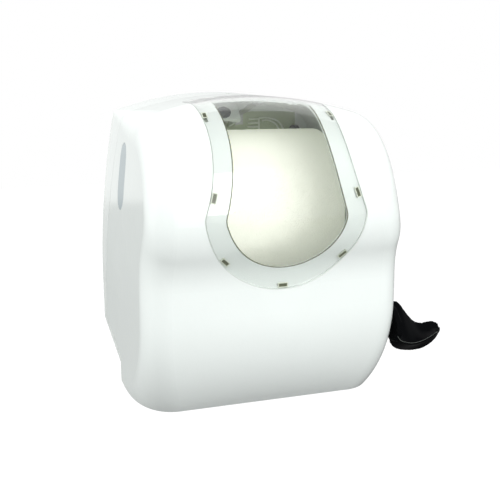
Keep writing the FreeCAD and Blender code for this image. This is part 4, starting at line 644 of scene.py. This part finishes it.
boss_turns = [2 * math.pi * k / BOSS_SIDES for k in range(BOSS_SIDES)]
boss_outline = [(SHAFT_Y + BOSS_RADIUS * math.cos(turn),
                 SHAFT_HEIGHT + BOSS_RADIUS * math.sin(turn)) for turn in boss_turns]
for outline in (ARM_OUTLINE, boss_outline):
    slab = skin_over([[from_rim(x, y, height) for y, height in outline]
                      for x in (ARM_NEAR, ARM_FAR)])
    slab_data = bpy.data.meshes.new("lever_part")
    slab.to_mesh(slab_data)
    scoop.from_mesh(slab_data)
    slab.free()

lever = add_piece("lever_moulding", scoop, "lever", "lever_group")
weld = lever.modifiers.new("weld", "REMESH")
weld.mode, weld.voxel_size = "VOXEL", WELD_VOXEL
soften = lever.modifiers.new("soften", "SMOOTH")
soften.factor, soften.iterations = SOFTEN_SHARE, SOFTEN_ROUNDS
welded = lever.evaluated_get(bpy.context.evaluated_depsgraph_get())
welded_data = bpy.data.meshes.new_from_object(welded)
lever.modifiers.clear()
lever.data = welded_data
lever.data.shade_smooth()
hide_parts("lever")
print("lever faces:", len(lever.data.polygons))

# %% [markdown]
# A fine bead follows the lip of the scoop, and its grey, far lighter than the black lever, is a
# painted highlight along the lip. Its line isn't known beforehand, because the smoothing moved the
# surface. So rays are cast at the finished lever from above, and from the front where the scoop
# meets the arm, and the line through their hits is smoothed.

# %% The bead on the lip
RAY_FRONT = -400
LIP_INSET = 1.7
LIP_END = 210
LIP_SMOOTHINGS = 6
BEAD_RADIUS, BEAD_SIDES = 0.42 * MM, 10


def bead(points, radius, sides):
    """A thin round strand along a line of points."""
    turns = [2 * math.pi * k / sides for k in range(sides)]
    rings = []
    for i, spot in enumerate(points):
        along = (points[min(i + 1, len(points) - 1)] - points[max(i - 1, 0)]).normalized()
        out = along.cross(Vector((0.1, 0.3, 1))).normalized()
        up = out.cross(along)
        rings.append([spot + (out * math.cos(turn) + up * math.sin(turn)) * radius
                      for turn in turns])
    return skin_over(rings)


lip_line = []
for x, front_y, front_height, rear_y, rear_height, lip in scoop_rows:
    if x < ARM_FAR + 1:
        start, look = from_rim(x, RAY_FRONT, front_height), (0, 1, 0)
    else:
        start, look = from_rim(x, front_y + LIP_INSET, RIM_DROP), (0, 0, -1)
    hit, spot, normal, face = lever.ray_cast(Vector(start), Vector(look))
    if hit and x < LIP_END:
        lip_line.append(spot)
for k in range(LIP_SMOOTHINGS):
    middles = [(a + b * 2 + c) / 4 for a, b, c in zip(lip_line, lip_line[1:], lip_line[2:])]
    lip_line = [lip_line[0]] + middles + [lip_line[-1]]
# painted highlight: the bead's grey, far lighter than the lever, draws a light line on the lip
finishes["lip"] = plastic("lever_lip_painted_highlight", (0.05, 0.055, 0.05), 0.12, depth=0.02)
lip_highlight_bead = add_piece("lever_lip_highlight_bead", bead(lip_line, BEAD_RADIUS, BEAD_SIDES), "lip",
                     "lever_group")
lip_highlight_bead.data.shade_smooth()
print("points on the lip:", len(lip_line))

# %% [markdown]
# ## The towel roll
#
# The roll is one long strip of towel wound on a board core, and its ends show the edges of the
# layers. It is turned from a profile, as on a lathe: rounded edges, and shallow rings on the end
# faces that stand for bundles of layers. A slight wobble keeps its outside from being a perfect
# cylinder. The core is a thin tube with broken edges, turned the same way.

# %% A lathe for the roll and its core
roll_low, roll_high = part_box("towel_roll")
core_low, core_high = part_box("towel_core")
ROLL_AXIS = ((roll_low[1] + roll_high[1]) / 2, (roll_low[2] + roll_high[2]) / 2)
ROLL_SIDES = 160


def turned_ring(x, radius, wobble=0.0):
    """A ring of points round the roll's axis; wobble makes it a little uneven."""
    ring = []
    for k in range(ROLL_SIDES):
        turn = 2 * math.pi * k / ROLL_SIDES
        reach = radius + wobble * (math.sin(2 * turn + 0.7) + 0.5 * math.sin(5 * turn))
        ring.append((x, ROLL_AXIS[0] + reach * math.cos(turn),
                     ROLL_AXIS[1] + reach * math.sin(turn)))
    return ring


print("roll length in mm:", round((roll_high[0] - roll_low[0]) / MM))

# %% The roll
ROLL_GAP = 0.4 * MM
ROLL_RADIUS = (roll_high[2] - roll_low[2]) / 2 - ROLL_GAP
ROLL_WOBBLE = 0.15 * MM
CORE_RADIUS = (core_high[2] - core_low[2]) / 2
LAYER_RINGS, LAYER_DEPTH = 26, 0.5 * MM
EDGE_ROUND, EDGE_STEPS = 1.6 * MM, 4
SIDE_STATIONS = 12
BORE_INSET = 1 * MM
random.seed(7)


def end_profile(inner, outer, depth):
    """Rings of an end face from the core outwards, with uneven layer bundles."""
    profile = []
    for k in range(LAYER_RINGS + 1):
        radius = inner + (outer - EDGE_ROUND - inner) * k / LAYER_RINGS
        profile.append((depth * random.random(), radius))
    for k in range(1, EDGE_STEPS):
        turn = math.pi / 6 * k
        profile.append((EDGE_ROUND * (1 - math.cos(turn)),
                        outer - EDGE_ROUND * (1 - math.sin(turn))))
    return profile


left_end = end_profile(CORE_RADIUS, ROLL_RADIUS, LAYER_DEPTH)
right_end = end_profile(CORE_RADIUS, ROLL_RADIUS, LAYER_DEPTH)
stations = [(roll_low[0] + inset, radius) for inset, radius in left_end]
for k in range(1, SIDE_STATIONS):
    x = roll_low[0] + (roll_high[0] - roll_low[0]) * k / SIDE_STATIONS
    stations.append((x, ROLL_RADIUS))
stations += [(roll_high[0] - inset, radius) for inset, radius in reversed(right_end)]
stations += [(roll_high[0] - BORE_INSET, CORE_RADIUS), (roll_low[0] + BORE_INSET, CORE_RADIUS)]
rings = [turned_ring(x, radius, ROLL_WOBBLE if radius > CORE_RADIUS * 2 else 0)
         for x, radius in stations]
roll = add_piece("towel_winding", skin_over(rings, looped=True), "paper", "roll")
roll.data.shade_smooth()
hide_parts("towel_roll")
print("roll faces:", len(roll.data.polygons))

# %% The core
CORE_WALL = 1.5 * MM
CORE_EDGE = 0.3 * MM
core_profile = [(core_low[0], CORE_RADIUS - CORE_EDGE), (core_low[0] + CORE_EDGE, CORE_RADIUS),
                (core_high[0] - CORE_EDGE, CORE_RADIUS), (core_high[0], CORE_RADIUS - CORE_EDGE),
                (core_high[0], CORE_RADIUS - CORE_WALL), (core_low[0], CORE_RADIUS - CORE_WALL)]
core_rings = [turned_ring(x, radius) for x, radius in core_profile]
core = add_piece("board_tube", skin_over(core_rings, looped=True), "cardboard", "roll")
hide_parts("towel_core")
print("core faces:", len(core.data.polygons))

# %% [markdown]
# ## The seams of the window
#
# Two fine lines show round the window: the seam where the clear panel lies in its recess, and the
# edge of the opening under it. Both follow the same kind of outline, a round bowl with flanks that
# draw in towards the top. A corner arc joins each flank to the bowl and touches both, so its
# centre lies where two circles round the other centres cross.

# %% The outline of the window
def arc_points(centre, radius, start, end, count):
    """Points of an arc between two angles in degrees."""
    turns = [math.radians(start + (end - start) * k / count) for k in range(count + 1)]
    return [(centre[0] + radius * math.cos(turn), centre[1] + radius * math.sin(turn))
            for turn in turns]


def shield_line(low, bowl, neck, neck_height, flank, corner, top):
    """The right half of the window's outline, from its lowest point up to a height."""
    middle = (0, low + bowl)
    hollow = (neck + flank, neck_height)
    gap = math.dist(middle, hollow)
    near, far = bowl - corner, flank + corner
    along = (near ** 2 - far ** 2 + gap ** 2) / (2 * gap)
    off = math.sqrt(near ** 2 - along ** 2)
    over, rise = hollow[0] / gap, (hollow[1] - middle[1]) / gap
    turn = (along * over + off * rise, middle[1] + along * rise - off * over)
    first = math.degrees(math.atan2(turn[1] - middle[1], turn[0]))
    second = math.degrees(math.atan2(hollow[1] - turn[1], hollow[0] - turn[0]))
    flank_low = math.degrees(math.atan2(turn[1] - hollow[1], turn[0] - hollow[0])) % 360
    flank_high = 180 - math.degrees(math.asin((top - neck_height) / flank))
    return (arc_points(middle, bowl, -90, first, 30)
            + arc_points(turn, corner, first, second, 12)
            + arc_points(hollow, flank, flank_low, flank_high, 30))


panel_line = shield_line(low=145.1, bowl=86.9, neck=72.6, neck_height=303, flank=224.6,
                         corner=22.4, top=336)
opening_line = shield_line(low=169.2, bowl=66.3, neck=52.3, neck_height=308, flank=299.7,
                           corner=16.3, top=328)
print("points of half an outline:", len(panel_line))

# %% [markdown]
# The outlines are flat, but the cover is bowed. Rays sent at the front carry each point onto the
# cover, on both sides of the middle, and a thin strand lies along what they hit.

# %% The strands
SAME_POINT = 0.4 * MM
finishes["seam"] = plastic("seam_grey", (0.6, 0.65, 0.6), 0.5, depth=0.1)
finishes["rim_line"] = plastic("opening_olive", (0.16, 0.17, 0.11), 0.5, depth=0.1)


def trace(half_line, target):
    """Where a line and its mirror image land on the front of a solid."""
    found = []
    for x, height in [(-x, z) for x, z in reversed(half_line)] + half_line[1:]:
        start = Vector(from_rim(x, RAY_FRONT, height))
        hit, spot, normal, face = target.ray_cast(start, Vector((0, 1, 0)))
        if hit and (not found or (spot - found[-1]).length > SAME_POINT):
            found.append(spot)
    return found


panel_seam = trace(panel_line, nodes["front_cover"])
opening_edge = trace(opening_line, nodes["front_cover"])
add_piece("window_seam", bead(panel_seam, 0.35 * MM, 8), "seam", "cover")
add_piece("opening_rim", bead(opening_edge, 0.55 * MM, 8), "rim_line", "cover")
print("seam points:", len(panel_seam), "and", len(opening_edge))

# %% [markdown]
# ## Ribs behind the roll
#
# Above the roll a little of the back plate shows through the window. It carries moulded ribs: an
# arch with a smaller arch inside it, an upright bar, and three short level bars. Each is a line of
# a few points, drawn smooth, with a strand along it that is partly sunk in the plate.

# %% Ribs of the back plate
RIB_Y = -3.6
RIB_RADIUS, RIB_SIDES, RIB_STEPS = 1.3 * MM, 10, 8
finishes["rib"] = plastic("rib_pale", (0.8, 0.84, 0.76), 0.3, depth=0.1)

# each rib as points of (across, height)
RIB_LINES = [
    [(62.5, 311), (74, 311.5), (85, 308.5), (92.5, 303.5), (97, 296), (98.5, 287)],
    [(67, 307.5), (75, 308), (83, 305), (88.5, 300), (91, 294), (91.5, 287)],
    [(62.5, 311), (62.5, 299), (62.5, 287)], [(48, 309.8), (55, 309.8), (62, 309.8)],
    [(47, 304), (55, 304), (62, 304)], [(46, 298.5), (55, 298.5), (62, 298.5)]]
for number, points in enumerate(RIB_LINES):
    line = [Vector(from_rim(x, RIB_Y, height)) for x, height in smooth_between(points, RIB_STEPS)]
    rib = add_piece(f"plate_rib_{number}", bead(line, RIB_RADIUS, RIB_SIDES), "rib", "housing")
    rib.data.shade_smooth()
print("ribs:", len(RIB_LINES))

# %% [markdown]
# ## The snap clips of the window
#
# Seven clips hold the clear window in its recess. Each shows as a small grey-green frame at the
# window's edge with a slit in its middle, a shallow pocket whose dark colour is painted shade. One
# function makes the frame. Each of the seven is set down square to the curved front, by casting a
# ray at the window and reading the slope where it lands.

# %% A clip
CLIP_LONG, CLIP_WIDE, CLIP_DEEP = 11 * MM, 5.4 * MM, 1.2 * MM
CLIP_WALL = 1.3 * MM
SLIT_SHARE = 0.6
finishes["clip"] = plastic("clip_grey_green", (0.64, 0.69, 0.58), 0.35, depth=0.1)
# painted shade: the slit's dark colour stands in for the shade in the clip's shallow pocket
finishes["slit"] = plastic("clip_slit_painted_shade", (0.14, 0.155, 0.1), 0.6, depth=0.2)


def clip_mesh():
    """A flat frame with a pocket in its face; its face looks along +Z. The pocket takes the second
    material, the slit's painted shade.
    """
    mesh = bmesh.new()
    bmesh.ops.create_cube(mesh, size=1)
    bmesh.ops.scale(mesh, vec=(CLIP_LONG, CLIP_WIDE, CLIP_DEEP), verts=mesh.verts)
    face = max(mesh.faces, key=lambda side: side.calc_center_median().z)
    bmesh.ops.inset_region(mesh, faces=[face], thickness=CLIP_WALL)
    pocket = bmesh.ops.extrude_discrete_faces(mesh, faces=[face])["faces"][0]
    bmesh.ops.translate(mesh, vec=(0, 0, -CLIP_DEEP * SLIT_SHARE), verts=pocket.verts)
    # the pocket wears the slit's painted shade
    pocket.material_index = 1
    return mesh


print("clip in mm:", [round(size / MM, 1) for size in (CLIP_LONG, CLIP_WIDE, CLIP_DEEP)])

# %% The clips
SINK_SHARE = 0.46
# across, height above the rim, and turn along the window's edge in degrees
CLIP_SPOTS = [(0, 149.2, 0)]
for hand in (-1, 1):
    CLIP_SPOTS += [(hand * 63.8, 179, hand * -50), (hand * 76.2, 245, hand * 75),
                   (hand * 69.4, 322, hand * 95)]
for number, (across, height, turn) in enumerate(CLIP_SPOTS):
    start = Vector(from_rim(across, RAY_FRONT, height))
    hit, spot, normal, face = nodes["window_panel"].ray_cast(start, Vector((0, 1, 0)))
    clip = add_piece(f"window_clip_{number}", clip_mesh(), "clip", "cover")
    # the second material is the slit's painted shade
    clip.data.materials.append(finishes["slit"])
    along = Vector((math.cos(math.radians(turn)), 0, -math.sin(math.radians(turn))))
    along = (along - normal * along.dot(normal)).normalized()
    turned = Matrix((along, normal.cross(along), normal)).transposed().to_4x4()
    sunk = spot - normal * CLIP_DEEP * SINK_SHARE
    clip.data.transform(Matrix.Translation(sunk) @ turned)
print("clips:", len(CLIP_SPOTS))
